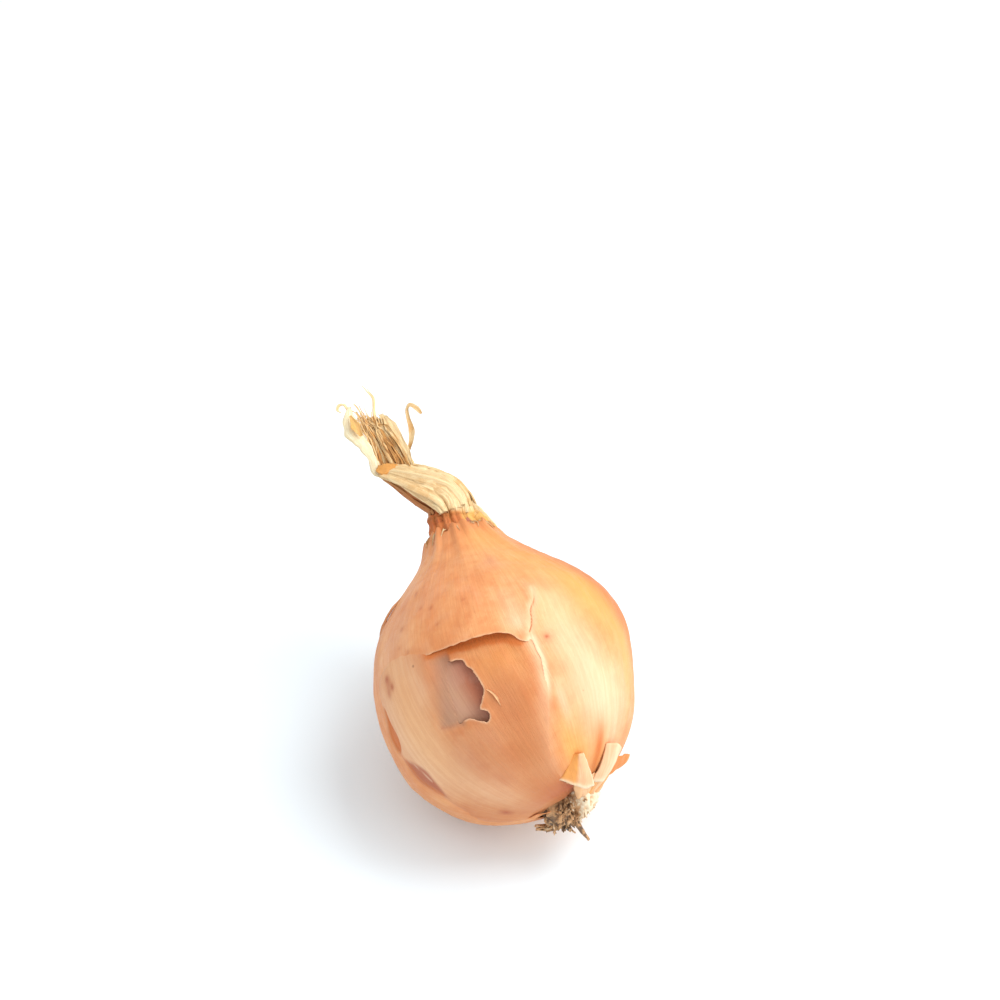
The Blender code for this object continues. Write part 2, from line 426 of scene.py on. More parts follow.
class Pile:
    """Gathers closed solids, and the values their points carry, into one mesh."""

    def __init__(self) -> None:
        """Starts empty."""
        self.points: list[np.ndarray] = []
        self.faces: Faces = []
        self.values: list[dict[str, np.ndarray]] = []
        self.count = 0

    def add(self, points: np.ndarray, faces: Faces, **values: np.ndarray | float) -> None:
        """Adds one solid.

        Args:
            points: Its points.
            faces: Its faces.
            **values: What its points carry, one number or vector each, or one for all.
        """
        self.faces += [tuple(corner + self.count for corner in face) for face in faces]
        held = {}
        for name, value in values.items():
            value = np.asarray(value, float)
            held[name] = value if value.ndim else np.full(len(points), float(value))
        self.values.append(held)
        self.points.append(points)
        self.count += len(points)

    def made(self, name: str, material: bpy.types.Material) -> bpy.types.Object:
        """Makes the mesh, in metres.

        Args:
            name: The piece's name.
            material: Its finish.

        Returns:
            The new object.
        """
        mesh = bpy.data.meshes.new(name)
        mesh.from_pydata((np.vstack(self.points) * MM).tolist(), [], self.faces)
        names = sorted({key for held in self.values for key in held})
        for key in names:
            width = 3 if key == "lay" else 1
            rows = [
                held.get(
                    key, np.zeros((len(points), width)),
                ).reshape(len(points), width) for held, points in zip(self.values, self.points)
            ]
            kind, slot = ("FLOAT_VECTOR", "vector") if width == 3 else ("FLOAT", "value")
            mesh.attributes.new(key, kind, "POINT").data.foreach_set(slot, np.vstack(rows).ravel())
        mesh.shade_smooth()
        mesh.materials.append(material)
        piece = bpy.data.objects.new(name, mesh)
        bpy.context.scene.collection.objects.link(piece)
        return piece


def settle(piece: bpy.types.Object, slot: Slot, *nodes: str) -> None:
    """Puts a piece on the frame.

    Args:
        piece: The finished piece.
        slot: Not used.
        *nodes: The CAD nodes it stands for.
    """
    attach(piece, "root")
    if nodes:
        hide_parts(*nodes)
    named = ", ".join(nodes) or "no node"
    LOG.info("%s: %d faces, stands for %s", piece.name, len(piece.data.polygons), named)


@dataclass(frozen=True)
class Strip:
    """A dried strip of leaf: a thin closed ribbon along a smooth line of (side, rise, back) stops."""

    line: tuple[Point, ...]
    widths: tuple[float, ...]
    facing: Point | tuple[Point, ...] = (0.0, 0.2, -1.0)
    cup: float = 0.25
    twist: tuple[float, float] = (0.0, 0.0)
    thick: float = 0.14
    tone: float = 0.5
    crimp: float = 0.08
    steps: int = 9
    across: int = 9
    seed: int = 1
    grain_shift: float = 0.37
    grain_pace: float = 9

    def laid(self, pile: Pile, **values: float) -> None:
        """Adds the strip to a pile.

        Args:
            pile: The pile it joins.
            **values: What all its points carry.
        """
        line = SHAPE.placed(flowing(self.line, self.steps))
        count = len(line)
        share = np.linspace(0, 1, count)
        width = np.interp(share, np.linspace(0, 1, len(self.widths)), self.widths)
        onward = unit(np.gradient(line, axis=0))
        facing = resampled(share, np.atleast_2d(np.array(self.facing, float)) @ SHAPE.axes)
        facing = unit(facing - onward * (onward * facing).sum(1)[:, None])
        side = np.cross(onward, facing)
        lean = np.radians(np.interp(share, (0, 1), self.twist))[:, None]
        cosine, sine = np.cos(lean), np.sin(lean)
        facing, side = facing * cosine + side * sine, side * cosine - facing * sine
        over = np.linspace(-1, 1, self.across)
        half = width[:, None] / 2
        edge = 1 + 0.12 * Ripple(self.seed, 0.8, 4.0)(line)[:, None] * np.abs(over)
        bow = self.cup * half * (over**2) * 2
        spread = line[:, None, :] * 0.5 + (over * 1.6)[None, :, None] * side[:, None, :]
        wave = self.crimp * Ripple(self.seed + 9, 0.9, 4.0)(spread)
        flat = line[:, None, :] + side[:, None, :] * (over * half * edge)[..., None]
        top = flat + facing[:, None, :] * (bow + wave)[..., None]
        thin = self.thick * (1 - 0.6 * np.abs(over) ** 3)[None, :, None]
        under = top - facing[:, None, :] * thin
        faces = grid_faces(count, self.across)
        points, solid = closed_shell(top.reshape(-1, 3), under.reshape(-1, 3), faces)
        along = np.repeat(share, self.across)
        apart = np.full(count * self.across, self.seed * self.grain_shift)
        lay = np.stack([np.tile(over, count), apart, along * count / self.grain_pace], 1)
        pile.add(points, solid, tone=self.tone, lay=np.tile(lay, (2, 1)), **values)


# ---------------------------------------------------------------- nodes


class Bench:
    """Adds nodes to one tree and joins them up."""

    def __init__(self, tree: bpy.types.NodeTree) -> None:
        """Takes the tree to work on."""
        self.tree = tree

    def put(self, kind: str, settings: dict[str, Any] | None = None, **inputs: Any) -> bpy.types.Node:
        """Adds a node.

        Args:
            kind: Blender's own name for the node.
            settings: Its settings, by name.
            **inputs: Its inputs, by name with _ for a space, or in0, in1 by number.

        Returns:
            The node.
        """
        node = self.tree.nodes.new(kind)
        for name, value in (settings or {}).items():
            setattr(node, name, value)
        for name, value in inputs.items():
            number = name[2:]
            socket = node.inputs[int(number)] if name.startswith("in") and number.isdigit() else None
            self.feed(socket or node.inputs[name.replace("_", " ")], value)
        return node

    def feed(self, socket: bpy.types.NodeSocket, value: Any) -> None:
        """Joins a socket to another, or sets its own value."""
        if isinstance(value, bpy.types.NodeSocket):
            self.tree.links.new(value, socket)
        elif isinstance(value, tuple) and len(value) == 3 and socket.type == "RGBA":
            socket.default_value = (*value, 1.0)
        else:
            socket.default_value = value

    def sum(self, operation: str, *values: Any, clamp: bool = False) -> bpy.types.NodeSocket:
        """Does arithmetic on numbers."""
        inputs = {f"in{number}": value for number, value in enumerate(values)}
        return self.put("ShaderNodeMath", {"operation": operation, "use_clamp": clamp}, **inputs).outputs[0]

    def times(self, left: Any, right: Any) -> bpy.types.NodeSocket:
        """Multiplies two numbers."""
        return self.sum("MULTIPLY", left, right)

    def minus(self, left: Any, right: Any, clamp: bool = False) -> bpy.types.NodeSocket:
        """Takes one number from another."""
        return self.sum("SUBTRACT", left, right, clamp=clamp)

    def ramp(self, value: Any, slope: Any, start: Any) -> bpy.types.NodeSocket:
        """Gives value times slope, plus start."""
        return self.sum("MULTIPLY_ADD", value, slope, start)

    def vector(self, operation: str, *values: Any) -> bpy.types.NodeSocket:
        """Does arithmetic on vectors."""
        inputs = {f"in{number}": value for number, value in enumerate(values)}
        return self.put("ShaderNodeVectorMath", {"operation": operation}, **inputs).outputs["Vector"]

    def scaled(self, vector: Any, size: Any) -> bpy.types.NodeSocket:
        """Multiplies a vector by a number."""
        node = self.put("ShaderNodeVectorMath", {"operation": "SCALE"}, in0=vector, in3=size)
        return node.outputs["Vector"]

    def stretch(self, value: Any, low: Any, high: Any, bottom: float = 0.0, top: float = 1.0) -> Any:
        """Maps low..high onto bottom..top, with soft ends."""
        settings = {"interpolation_type": "SMOOTHSTEP"}
        node = self.put("ShaderNodeMapRange", settings, in0=value, in1=low, in2=high, in3=bottom, in4=top)
        return node.outputs[0]

    def mix(self, share: Any, under: Any, over: Any) -> bpy.types.NodeSocket:
        """Lays one colour over another."""
        node = self.put("ShaderNodeMix", {"data_type": "RGBA"})
        self.feed(node.inputs[0], share)
        self.feed(node.inputs[6], under)
        self.feed(node.inputs[7], over)
        return node.outputs[2]

    def layered(self, colour: Any, *layers: tuple[Any, float, Colour]) -> Any:
        """Lays (mask, strength, tint) layers over a colour."""
        for mask, strength, tint in layers:
            colour = self.mix(self.times(mask, strength), colour, tint)
        return colour

    def noise(self, vector: Any, scale: Any) -> bpy.types.NodeSocket:
        """Adds soft noise."""
        return self.put(
            "ShaderNodeTexNoise", Vector=vector, Scale=scale, Detail=4.0, Roughness=0.6,
        ).outputs["Fac"]

    def value(self, name: str) -> bpy.types.NodeSocket:
        """Reads a number that the mesh carries."""
        return self.put("ShaderNodeAttribute", {"attribute_name": name}).outputs["Fac"]

    def lay(self) -> bpy.types.NodeSocket:
        """Reads the mesh's own lay coordinates."""
        return self.put("ShaderNodeAttribute", {"attribute_name": "lay"}).outputs["Vector"]

    def group(self, tree: bpy.types.NodeTree, **inputs: Any) -> bpy.types.Node:
        """Places a shared shader group."""
        return self.put("ShaderNodeGroup", {"node_tree": tree}, **inputs)


def new_group(name: str, kind: str, takes: dict[str, Any], gives: dict[str, str]) -> tuple[Any, Any, Any]:
    """Starts a node group.

    Args:
        name: The group's name.
        kind: ShaderNodeTree or GeometryNodeTree.
        takes: Each input's name, with its starting value, or a socket type where it has none.
        gives: Each output's name, with its socket type.

    Returns:
        The bench to work on, the group's input node and its output node.
    """
    tree = bpy.data.node_groups.new(name, kind)
    types = {float: "NodeSocketFloat", int: "NodeSocketInt", tuple: "NodeSocketVector"}
    for label, value in takes.items():
        plain = not isinstance(value, str)
        socket_type = types[type(value)] if plain else value
        socket = tree.interface.new_socket(label, in_out="INPUT", socket_type=socket_type)
        if plain:
            socket.default_value = value
    for label, socket_type in gives.items():
        tree.interface.new_socket(label, in_out="OUTPUT", socket_type=socket_type)
    return Bench(tree), tree.nodes.new("NodeGroupInput"), tree.nodes.new("NodeGroupOutput")


class Effects:
    """The shader groups that several finishes share."""

    def __init__(self) -> None:
        """Builds each group once."""
        self.grain = self.make_grain()
        self.blotch = self.make_blotch()
        self.specks = self.make_specks()
        self.flesh = self.make_flesh()

    @staticmethod
    def make_grain() -> bpy.types.NodeTree:
        """Makes streaks and veins that run lengthwise along the lay."""
        takes = {"Lay": "NodeSocketVector", "Count": 9.0, "Length": 0.06, "Contrast": 0.5}
        gives = {"Streak": "NodeSocketFloat", "Vein": "NodeSocketFloat"}
        bench, inward, outward = new_group("lengthwise_grain", "ShaderNodeTree", takes, gives)
        split = bench.put("ShaderNodeSeparateXYZ", Vector=inward.outputs["Lay"])
        for number, finer in enumerate((1.0, 3.6)):
            wide = bench.times(inward.outputs["Count"], finer)
            long = bench.times(inward.outputs["Length"], finer**0.6)
            parts = [bench.times(split.outputs[axis], wide) for axis in (0, 1)]
            parts.append(bench.times(split.outputs[2], long))
            drawn = bench.put("ShaderNodeCombineXYZ", X=parts[0], Y=parts[1], Z=parts[2]).outputs[0]
            soft = bench.noise(drawn, 1.0)
            low = bench.ramp(inward.outputs["Contrast"], 0.14, 0.34)
            high = bench.ramp(inward.outputs["Contrast"], -0.14, 0.66)
            bench.feed(outward.inputs[number], bench.stretch(soft, low, high))
        return bench.tree

    def patches(self, bench: Bench, place: Any, scale: float, low: float, high: float) -> Any:
        """Reads the soft patches."""
        return bench.group(self.blotch, Place=place, Scale=scale, Low=low, High=high).outputs[0]

    @staticmethod
    def make_blotch() -> bpy.types.NodeTree:
        """Makes soft patches through space."""
        takes = {"Place": "NodeSocketVector", "Scale": 200.0, "Low": 0.45, "High": 0.65}
        gives = {"Mask": "NodeSocketFloat"}
        bench, inward, outward = new_group("soft_blotches", "ShaderNodeTree", takes, gives)
        soft = bench.noise(inward.outputs["Place"], inward.outputs["Scale"])
        bench.feed(outward.inputs[0], bench.stretch(soft, inward.outputs["Low"], inward.outputs["High"]))
        return bench.tree

    def make_flesh(self) -> bpy.types.NodeTree:
        """Makes the flesh's colour: greyish tan on its swollen left side, darkening to mauve-brown towards
        the hole's right edge, partly moister flesh and partly painted shade under the raised skin edge.
        """
        takes = {"Place": "NodeSocketVector", "Lay": "NodeSocketVector"}
        gives = {"Colour": "NodeSocketColor", "Line": "NodeSocketFloat"}
        bench, inward, outward = new_group("flesh_colour", "ShaderNodeTree", takes, gives)
        place, lay = inward.outputs["Place"], inward.outputs["Lay"]
        grain = bench.group(self.grain, Lay=lay, Count=16.0, Length=0.05, Contrast=0.6)
        patch = self.patches(bench, place, 260.0, 0.40, 0.62)
        split = bench.put("ShaderNodeSeparateXYZ", Vector=lay)
        turned = bench.sum("ARCTAN2", split.outputs[1], split.outputs[0])
        # Darker towards the hole's right edge: partly moister flesh, partly painted shade under the raised
        # skin edge.
        moist_and_shaded = bench.stretch(turned, math.radians(-40), math.radians(-29))
        colour = bench.mix(moist_and_shaded, (0.50, 0.265, 0.155), (0.40, 0.105, 0.043))
        vein = (grain.outputs["Vein"], 0.18, (0.34, 0.13, 0.075))
        colour = bench.layered(colour, (patch, 0.35, (0.50, 0.25, 0.17)), vein)
        bench.feed(outward.inputs[0], colour)
        bench.feed(outward.inputs[1], grain.outputs["Vein"])
        return bench.tree

    @staticmethod
    def make_specks() -> bpy.types.NodeTree:
        """Makes scattered small dark specks."""
        takes = {"Place": "NodeSocketVector", "Scale": 600.0, "Share": 0.15, "Size": 0.3}
        gives = {"Mask": "NodeSocketFloat"}
        bench, inward, outward = new_group("scattered_specks", "ShaderNodeTree", takes, gives)
        given = inward.outputs
        cells = bench.put("ShaderNodeTexVoronoi", Vector=given["Place"], Scale=given["Scale"])
        lot = bench.put("ShaderNodeSeparateColor", Color=cells.outputs["Color"]).outputs[0]
        chosen = bench.sum("LESS_THAN", lot, given["Share"])
        wide = bench.times(given["Size"], bench.sum("DIVIDE", lot, given["Share"]))
        near = bench.stretch(cells.outputs["Distance"], wide, bench.times(wide, 0.4))
        bench.feed(outward.inputs[0], bench.times(chosen, near))
        return bench.tree


def new_material(name: str) -> tuple[bpy.types.Material, Bench, bpy.types.Node]:
    """Starts a material.

    Args:
        name: The material's name.

    Returns:
        The material, the bench to work on and its main shader.
    """
    material = bpy.data.materials.new(name)
    material.use_nodes = True
    bench = Bench(material.node_tree)
    return material, bench, material.node_tree.nodes["Principled BSDF"]


def coloured(bench: Bench, shader: bpy.types.Node, colour: Any, grain: Any, rough: Stop) -> None:
    """Feeds the shader its colour, and a roughness that rises with the grain from rough[0] to rough[1]."""
    bench.feed(shader.inputs["Base Color"], colour)
    bench.feed(shader.inputs["Roughness"], bench.stretch(grain, 0.0, 1.0, *rough))


def bumped(bench: Bench, shader: bpy.types.Node, height: Any, strength: float, depth: float) -> None:
    """Roughens the shader's normal; depth is in millimetres."""
    bump = bench.put("ShaderNodeBump", Height=height, Strength=strength, Distance=depth * MM)
    bench.feed(shader.inputs["Normal"], bump.outputs["Normal"])


class Finish:
    """What every finish shares."""

    name: str

    def made(self, effects: Effects) -> bpy.types.Material:
        """Builds the material.

        Args:
            effects: The shared shader groups.

        Returns:
            The material.
        """
        material, bench, shader = new_material(self.name)
        self.dress(effects, bench, shader, bench.put("ShaderNodeTexCoord").outputs["Object"])
        return material

    def dress(self, effects: Effects, bench: Bench, shader: bpy.types.Node, place: Any) -> None:
        """Joins up the finish's nodes.

        Args:
            effects: The shared shader groups.
            bench: The material's bench.
            shader: Its main shader.
            place: The place on the object, in metres.
        """
        raise NotImplementedError


@dataclass(frozen=True)
class SkinFinish(Finish):
    """Papery copper skin: satin, with lengthwise veins, soft patches, stains, painted shade and highlights,
    and pale torn edges.
    """

    name: str
    tan: Colour = (0.77, 0.33, 0.13)
    rosy: Colour = (0.69, 0.235, 0.085)
    honey: Colour = (0.87, 0.45, 0.195)
    vein: Colour = (0.55, 0.17, 0.055)
    speck: Colour = (0.24, 0.09, 0.05)
    cloud: Colour = (0.86, 0.47, 0.26)
    rim: Colour = (0.97, 0.80, 0.56)
    # Tints laid by the mesh's values: shade is painted shade; amber, pale and brown are the skin's own tints,
    # which some spots also use for a painted glow, highlight and shade.
    stains: tuple[tuple[str, Colour], ...] = (
        ("amber", (0.88, 0.40, 0.10)), ("pale", (0.95, 0.70, 0.46)), ("brown", (0.50, 0.17, 0.05)),
        ("mauve", (0.54, 0.26, 0.17)), ("rust", (0.42, 0.09, 0.035)), ("shade", (0.60, 0.155, 0.03)),
    )
    streaks: float = 0.45
    veins: float = 0.15
    sheen: float = 0.46

    def dress(self, effects: Effects, bench: Bench, shader: bpy.types.Node, place: Any) -> None:
        """Joins up the finish's nodes."""
        grain = bench.group(effects.grain, Lay=bench.lay(), Count=7.0, Length=0.07, Contrast=0.5)
        fine = bench.group(effects.grain, Lay=bench.lay(), Count=34.0, Length=0.10, Contrast=0.9)
        patch = effects.patches(bench, place, 130.0, 0.42, 0.66)
        mottle = effects.patches(bench, place, 620.0, 0.40, 0.72)
        cloud = effects.patches(bench, place, 300.0, 0.42, 0.70)
        specks = bench.group(effects.specks, Place=place, Scale=420.0, Share=0.10, Size=0.16).outputs[0]
        colour = bench.layered(
            self.tan, (grain.outputs["Streak"], self.streaks, self.rosy), (patch, 0.55, self.honey),
            (mottle, 0.46, self.rosy), (cloud, 0.30, self.cloud),
            (fine.outputs["Vein"], self.veins, self.vein),
        )
        for stain, tint in self.stains:
            colour = bench.mix(bench.value(stain), colour, tint)
        streak = (fine.outputs["Streak"], self.veins * 0.8, self.rosy)
        colour = bench.layered(colour, streak, (specks, 0.55, self.speck))
        flesh = bench.group(effects.flesh, Place=place, Lay=bench.lay()).outputs["Colour"]
        colour = bench.mix(bench.value("bare"), colour, flesh)
        # Pale torn edges; along the glint in the left fold the same rim colour is a painted highlight.
        colour = bench.mix(bench.value("edge"), colour, self.rim)
        coloured(bench, shader, colour, fine.outputs["Vein"], (self.sheen, self.sheen + 0.1))
        shader.inputs["Specular IOR Level"].default_value = 0.2
        shader.inputs["Coat Weight"].default_value = 0.03
        shader.inputs["Coat Roughness"].default_value = 0.34
        height = bench.sum("ADD", fine.outputs["Vein"], bench.times(grain.outputs["Vein"], 1.5))
        height = bench.sum("ADD", height, bench.times(mottle, 0.7))
        bumped(bench, shader, height, 0.38, 0.05)


@dataclass(frozen=True)
class FleshFinish(Finish):
    """Dry face of the fleshy bulb: greyish mauve-brown with faint lengthwise lines."""

    name: str = "shallot_flesh"

    def dress(self, effects: Effects, bench: Bench, shader: bpy.types.Node, place: Any) -> None:
        """Joins up the finish's nodes."""
        flesh = bench.group(effects.flesh, Place=place, Lay=bench.lay())
        coloured(bench, shader, flesh.outputs["Colour"], flesh.outputs["Line"], (0.42, 0.58))
        bumped(bench, shader, flesh.outputs["Line"], 0.4, 0.04)


@dataclass(frozen=True)
class StrawFinish(Finish):
    """Dry leaf and fibre: from dark brown through straw to cream, by each strip's tone."""

    name: str
    dark: Colour = (0.20, 0.085, 0.03)
    straw: Colour = (0.74, 0.42, 0.145)
    cream: Colour = (0.98, 0.80, 0.47)
    crease: Colour = (0.40, 0.15, 0.035)
    gold: Colour = (0.90, 0.47, 0.11)
    red: Colour = (0.60, 0.155, 0.045)
    grey: Colour = (0.46, 0.27, 0.14)
    count: float = 5.0
    length: float = 0.5
    rough: float = 0.55

    def dress(self, effects: Effects, bench: Bench, shader: bpy.types.Node, place: Any) -> None:
        """Joins up the finish's nodes."""
        drawn = {"Count": self.count, "Length": self.length, "Contrast": 0.7}
        grain = bench.group(effects.grain, Lay=bench.lay(), **drawn)
        patch = effects.patches(bench, place, 420.0, 0.38, 0.64)
        tone = bench.ramp(bench.minus(patch, 0.5), 0.22, bench.value("tone"))
        colour = bench.mix(bench.stretch(tone, 0.05, 0.5), self.dark, self.straw)
        colour = bench.mix(bench.stretch(tone, 0.5, 0.92), colour, self.cream)
        vein = (grain.outputs["Vein"], 0.30, self.crease)
        colour = bench.layered(colour, (grain.outputs["Streak"], 0.35, self.straw), vein)
        # Tints laid by the mesh's values; on the sheath the crease, red, grey and gold values also carry
        # painted shade in the pleats and under the band.
        stains = {"gold": self.gold, "red": self.red, "grey": self.grey, "crease": self.crease}
        for name, tint in stains.items():
            colour = bench.mix(bench.value(name), colour, tint)
        coloured(bench, shader, colour, grain.outputs["Vein"], (self.rough, self.rough + 0.15))
        shader.inputs["Specular IOR Level"].default_value = 0.3
        height = bench.sum("ADD", grain.outputs["Vein"], bench.times(grain.outputs["Streak"], 1.4))
        bumped(bench, shader, height, 0.6, 0.06)


@dataclass(frozen=True)
class RootFinish(Finish):
    """Dry root tissue: corky cream and tan with dark brown pits."""

    name: str = "shallot_root"
    cream: Colour = (0.93, 0.80, 0.58)
    tan: Colour = (0.66, 0.38, 0.18)
    dark: Colour = (0.06, 0.035, 0.022)

    def dress(self, effects: Effects, bench: Bench, shader: bpy.types.Node, place: Any) -> None:
        """Joins up the finish's nodes."""
        patch = effects.patches(bench, place, 520.0, 0.42, 0.60)
        small = effects.patches(bench, place, 1700.0, 0.40, 0.66)
        tone = bench.ramp(bench.minus(small, 0.5), 0.30, bench.value("tone"))
        colour = bench.mix(bench.stretch(tone, 0.08, 0.42), self.dark, self.tan)
        colour = bench.mix(bench.stretch(tone, 0.45, 0.85), colour, self.cream)
        colour = bench.mix(bench.times(patch, 0.30), colour, self.tan)
        coloured(bench, shader, colour, small, (0.62, 0.82))
        bumped(bench, shader, small, 0.7, 0.12)


# ---------------------------------------------------------------- grown by rule


def grown(
    name: str, tree: bpy.types.NodeTree, material: bpy.types.Material, values: dict[str, Any],
    guides: bpy.types.Mesh | None = None,
) -> bpy.types.Object:
    """Runs a geometry tree and keeps its result as a plain mesh.

    Args:
        name: The piece's name.
        tree: The tree.
        material: The finish, fed to the tree's Finish input.
        values: The tree's other inputs, by name.
        guides: The mesh that the tree starts from, where it needs one.

    Returns:
        The new piece.
    """
    seed = bpy.data.objects.new(f"{name}.seed", guides or bpy.data.meshes.new(f"{name}.seed"))
    bpy.context.scene.collection.objects.link(seed)
    modifier = seed.modifiers.new("grow", "NODES")
    modifier.node_group = tree
    marks = {item.name: item.identifier for item in tree.interface.items_tree if item.in_out == "INPUT"}
    for label, value in {**values, "Finish": material}.items():
        modifier[marks[label]] = value
    result = seed.evaluated_get(bpy.context.evaluated_depsgraph_get())
    mesh = bpy.data.meshes.new_from_object(result)
    mesh.name = name
    piece = bpy.data.objects.new(name, mesh)
    bpy.context.scene.collection.objects.link(piece)
    seed.modifiers.remove(modifier)
    bpy.data.objects.remove(seed)
    return piece


def stored(bench: Bench, geometry: Any, name: str, value: Any, kind: str = "FLOAT") -> Any:
    """Stores a number or vector on a geometry tree's points."""
    node = bench.put("GeometryNodeStoreNamedAttribute", {"data_type": kind}, Geometry=geometry)
    bench.feed(node.inputs["Name"], name)
    bench.feed(node.inputs["Value"], value)
    return node.outputs[0]


def ended(bench: Bench, geometry: Any, finish: Any, outward: bpy.types.Node) -> None:
    """Ends a geometry tree: smooth, made real and given its finish."""
    smooth = bench.put("GeometryNodeSetShadeSmooth", Geometry=geometry)
    real = bench.put("GeometryNodeRealizeInstances", Geometry=smooth.outputs[0])
    dressed = bench.put("GeometryNodeSetMaterial", Geometry=real.outputs[0], Material=finish)
    bench.feed(outward.inputs[0], dressed.outputs[0])


@dataclass(frozen=True)
class Flesh:
    """The fleshy bulb under the skins, swollen a little where the tight skin has a hole."""

    depth: float = 1.15
    rings: int = 150
    sides: int = 260
    swelling: float = 0.85
    swell_at: Stop = (-1.2, -46.0)
    swell_reach: Stop = (5.5, 11.0)

    def tree(self) -> bpy.types.NodeTree:
        """Writes the bulb's shape as a rule on a grid.

        Returns:
            The geometry tree.
        """
        takes = {
            "Finish": "NodeSocketMaterial", "Depth": self.depth, "Rings": self.rings, "Sides": self.sides,
            "Swelling": self.swelling,
        }
        gives = {"Mesh": "NodeSocketGeometry"}
        bench, inward, outward = new_group("bulb_rule", "GeometryNodeTree", takes, gives)
        given = inward.outputs
        counts = {"Vertices_X": given["Rings"], "Vertices_Y": given["Sides"]}
        grid = bench.put("GeometryNodeMeshGrid", Size_X=1.0, Size_Y=1.0, **counts)
        spot = bench.put("ShaderNodeSeparateXYZ", Vector=bench.put("GeometryNodeInputPosition").outputs[0])
        share = bench.sum("ADD", spot.outputs[0], 0.5)
        turn = bench.times(bench.sum("ADD", spot.outputs[1], 0.5), 2 * math.pi)
        rooted = bench.minus(SHAPE.root_end, given["Depth"])
        swing = bench.sum("COSINE", bench.times(share, math.pi))
        eased = bench.minus(0.5, bench.times(swing, 0.5))
        whole = bench.sum("ADD", rooted, SHAPE.neck_end)
        along = bench.minus(bench.times(eased, whole), rooted)
        centre, heading = self.spine_nodes(bench, along)
        radius = self.girth_nodes(bench, along, rooted, given["Depth"])
        closing = bench.sum("LESS_THAN", share, 0.9999)
        bump = self.swelling_nodes(bench, along, turn)
        radius = bench.sum("ADD", radius, bench.times(bump, given["Swelling"]))
        lobes = 1.0
        for count, shift, size in SHAPE.lobes:
            wave = bench.sum("COSINE", bench.ramp(turn, count, shift))
            lobes = bench.ramp(wave, size, lobes)
        radius = bench.times(bench.times(radius, lobes), closing)
        rise = bench.put("ShaderNodeSeparateXYZ", Vector=heading).outputs[2]
        lifted = bench.vector("SUBTRACT", (0.0, 0.0, 1.0), bench.scaled(heading, rise))
        facing = bench.vector("NORMALIZE", lifted)
        across = bench.vector("CROSS_PRODUCT", heading, facing)
        cosine, sine = bench.sum("COSINE", turn), bench.sum("SINE", turn)
        out = bench.vector("ADD", bench.scaled(facing, cosine), bench.scaled(across, sine))
        place = bench.vector("ADD", centre, bench.scaled(out, radius))
        parts = bench.put("ShaderNodeSeparateXYZ", Vector=place)
        floor = bench.sum("MAXIMUM", parts.outputs[2], given["Depth"])
        flat = bench.put("ShaderNodeCombineXYZ", X=parts.outputs[0], Y=parts.outputs[1], Z=floor).outputs[0]
        lay = bench.put("ShaderNodeCombineXYZ", X=cosine, Y=sine, Z=along).outputs[0]
        kept = stored(bench, grid.outputs[0], "lay", lay, "FLOAT_VECTOR")
        where = bench.scaled(flat, MM)
        moved = bench.put("GeometryNodeSetPosition", Geometry=kept, Position=where)
        joined = bench.put("GeometryNodeMergeByDistance", Geometry=moved.outputs[0], Distance=2e-6)
        ended(bench, joined.outputs[0], given["Finish"], outward)
        return bench.tree

    @staticmethod
    def spine_nodes(bench: Bench, along: Any) -> tuple[Any, Any]:
        """Adds the curved middle line and its heading.

        Args:
            bench: The tree's bench.
            along: The place along the line.

        Returns:
            The centre and the heading.
        """
        whole = bench.sum("SQRT", bench.ramp(along, along, SHAPE.bend**2))
        to_neck = bench.times(bench.sum("ADD", whole, along), 0.5)
        to_root = bench.times(bench.minus(whole, along), 0.5)
        share = bench.sum("DIVIDE", along, SHAPE.sway_reach)
        left = bench.minus(1.0, bench.times(share, share))
        fall = bench.sum("EXPONENT", bench.times(left, 0.5))
        sway = bench.times(bench.times(share, SHAPE.sway), fall)
        neckward = bench.scaled(tuple(SHAPE.neck_way), to_neck)
        rootward = bench.scaled(tuple(SHAPE.root_way), to_root)
        heading = bench.vector("NORMALIZE", bench.vector("SUBTRACT", neckward, rootward))
        sideways = bench.scaled(tuple(SHAPE.axes[0]), sway)
        centre = bench.vector("ADD", bench.vector("ADD", neckward, rootward), sideways)
        return bench.vector("ADD", centre, tuple(SHAPE.middle)), heading

    @staticmethod
    def girth_nodes(bench: Bench, along: Any, rooted: Any, depth: Any) -> Any:
        """Adds the radius at each place.

        Args:
            bench: The tree's bench.
            along: The place along the bulb.
            rooted: How far the root end is from the middle.
            depth: How far under the skin the flesh lies.

        Returns:
            The radius.
        """
        rootward = bench.sum("MAXIMUM", bench.times(along, -1.0), 0.0)
        share = bench.sum("DIVIDE", rootward, rooted, clamp=True)
        round_off = bench.minus(1.0, bench.sum("POWER", share, SHAPE.squareness), clamp=True)
        low = bench.times(bench.sum("POWER", round_off, 1 / SHAPE.squareness), SHAPE.radius)
        upward = bench.sum("DIVIDE", bench.sum("MAXIMUM", along, 0.0), SHAPE.shoulder_reach)
        steep = bench.sum("POWER", upward, SHAPE.shoulder_power)
        fall = bench.sum("EXPONENT", bench.times(steep, -1.0))
        high = bench.ramp(fall, SHAPE.radius - SHAPE.neck_radius, SHAPE.neck_radius)
        below = bench.sum("LESS_THAN", along, 0.0)
        above = bench.minus(1.0, below)
        whole = bench.sum("ADD", bench.times(low, below), bench.times(high, above))
        neckward = bench.times(bench.sum("GREATER_THAN", along, 0.0), 0.85)
        slimmed = bench.sum("MAXIMUM", bench.sum("SQRT", bench.sum("DIVIDE", whole, SHAPE.radius)), neckward)
        less = bench.times(depth, slimmed)
        return bench.sum("MAXIMUM", bench.minus(whole, less), 0.0)

    def level(self, along: np.ndarray, turn: np.ndarray) -> np.ndarray:
        """Gives how far the flesh lies below the skin's plain level (below 0), where the hole is."""
        wide = (turn - self.swell_at[1]) / self.swell_reach[1]
        long = (along - self.swell_at[0]) / self.swell_reach[0]
        return self.swelling * np.exp(-(wide**2) - long**2) - self.depth

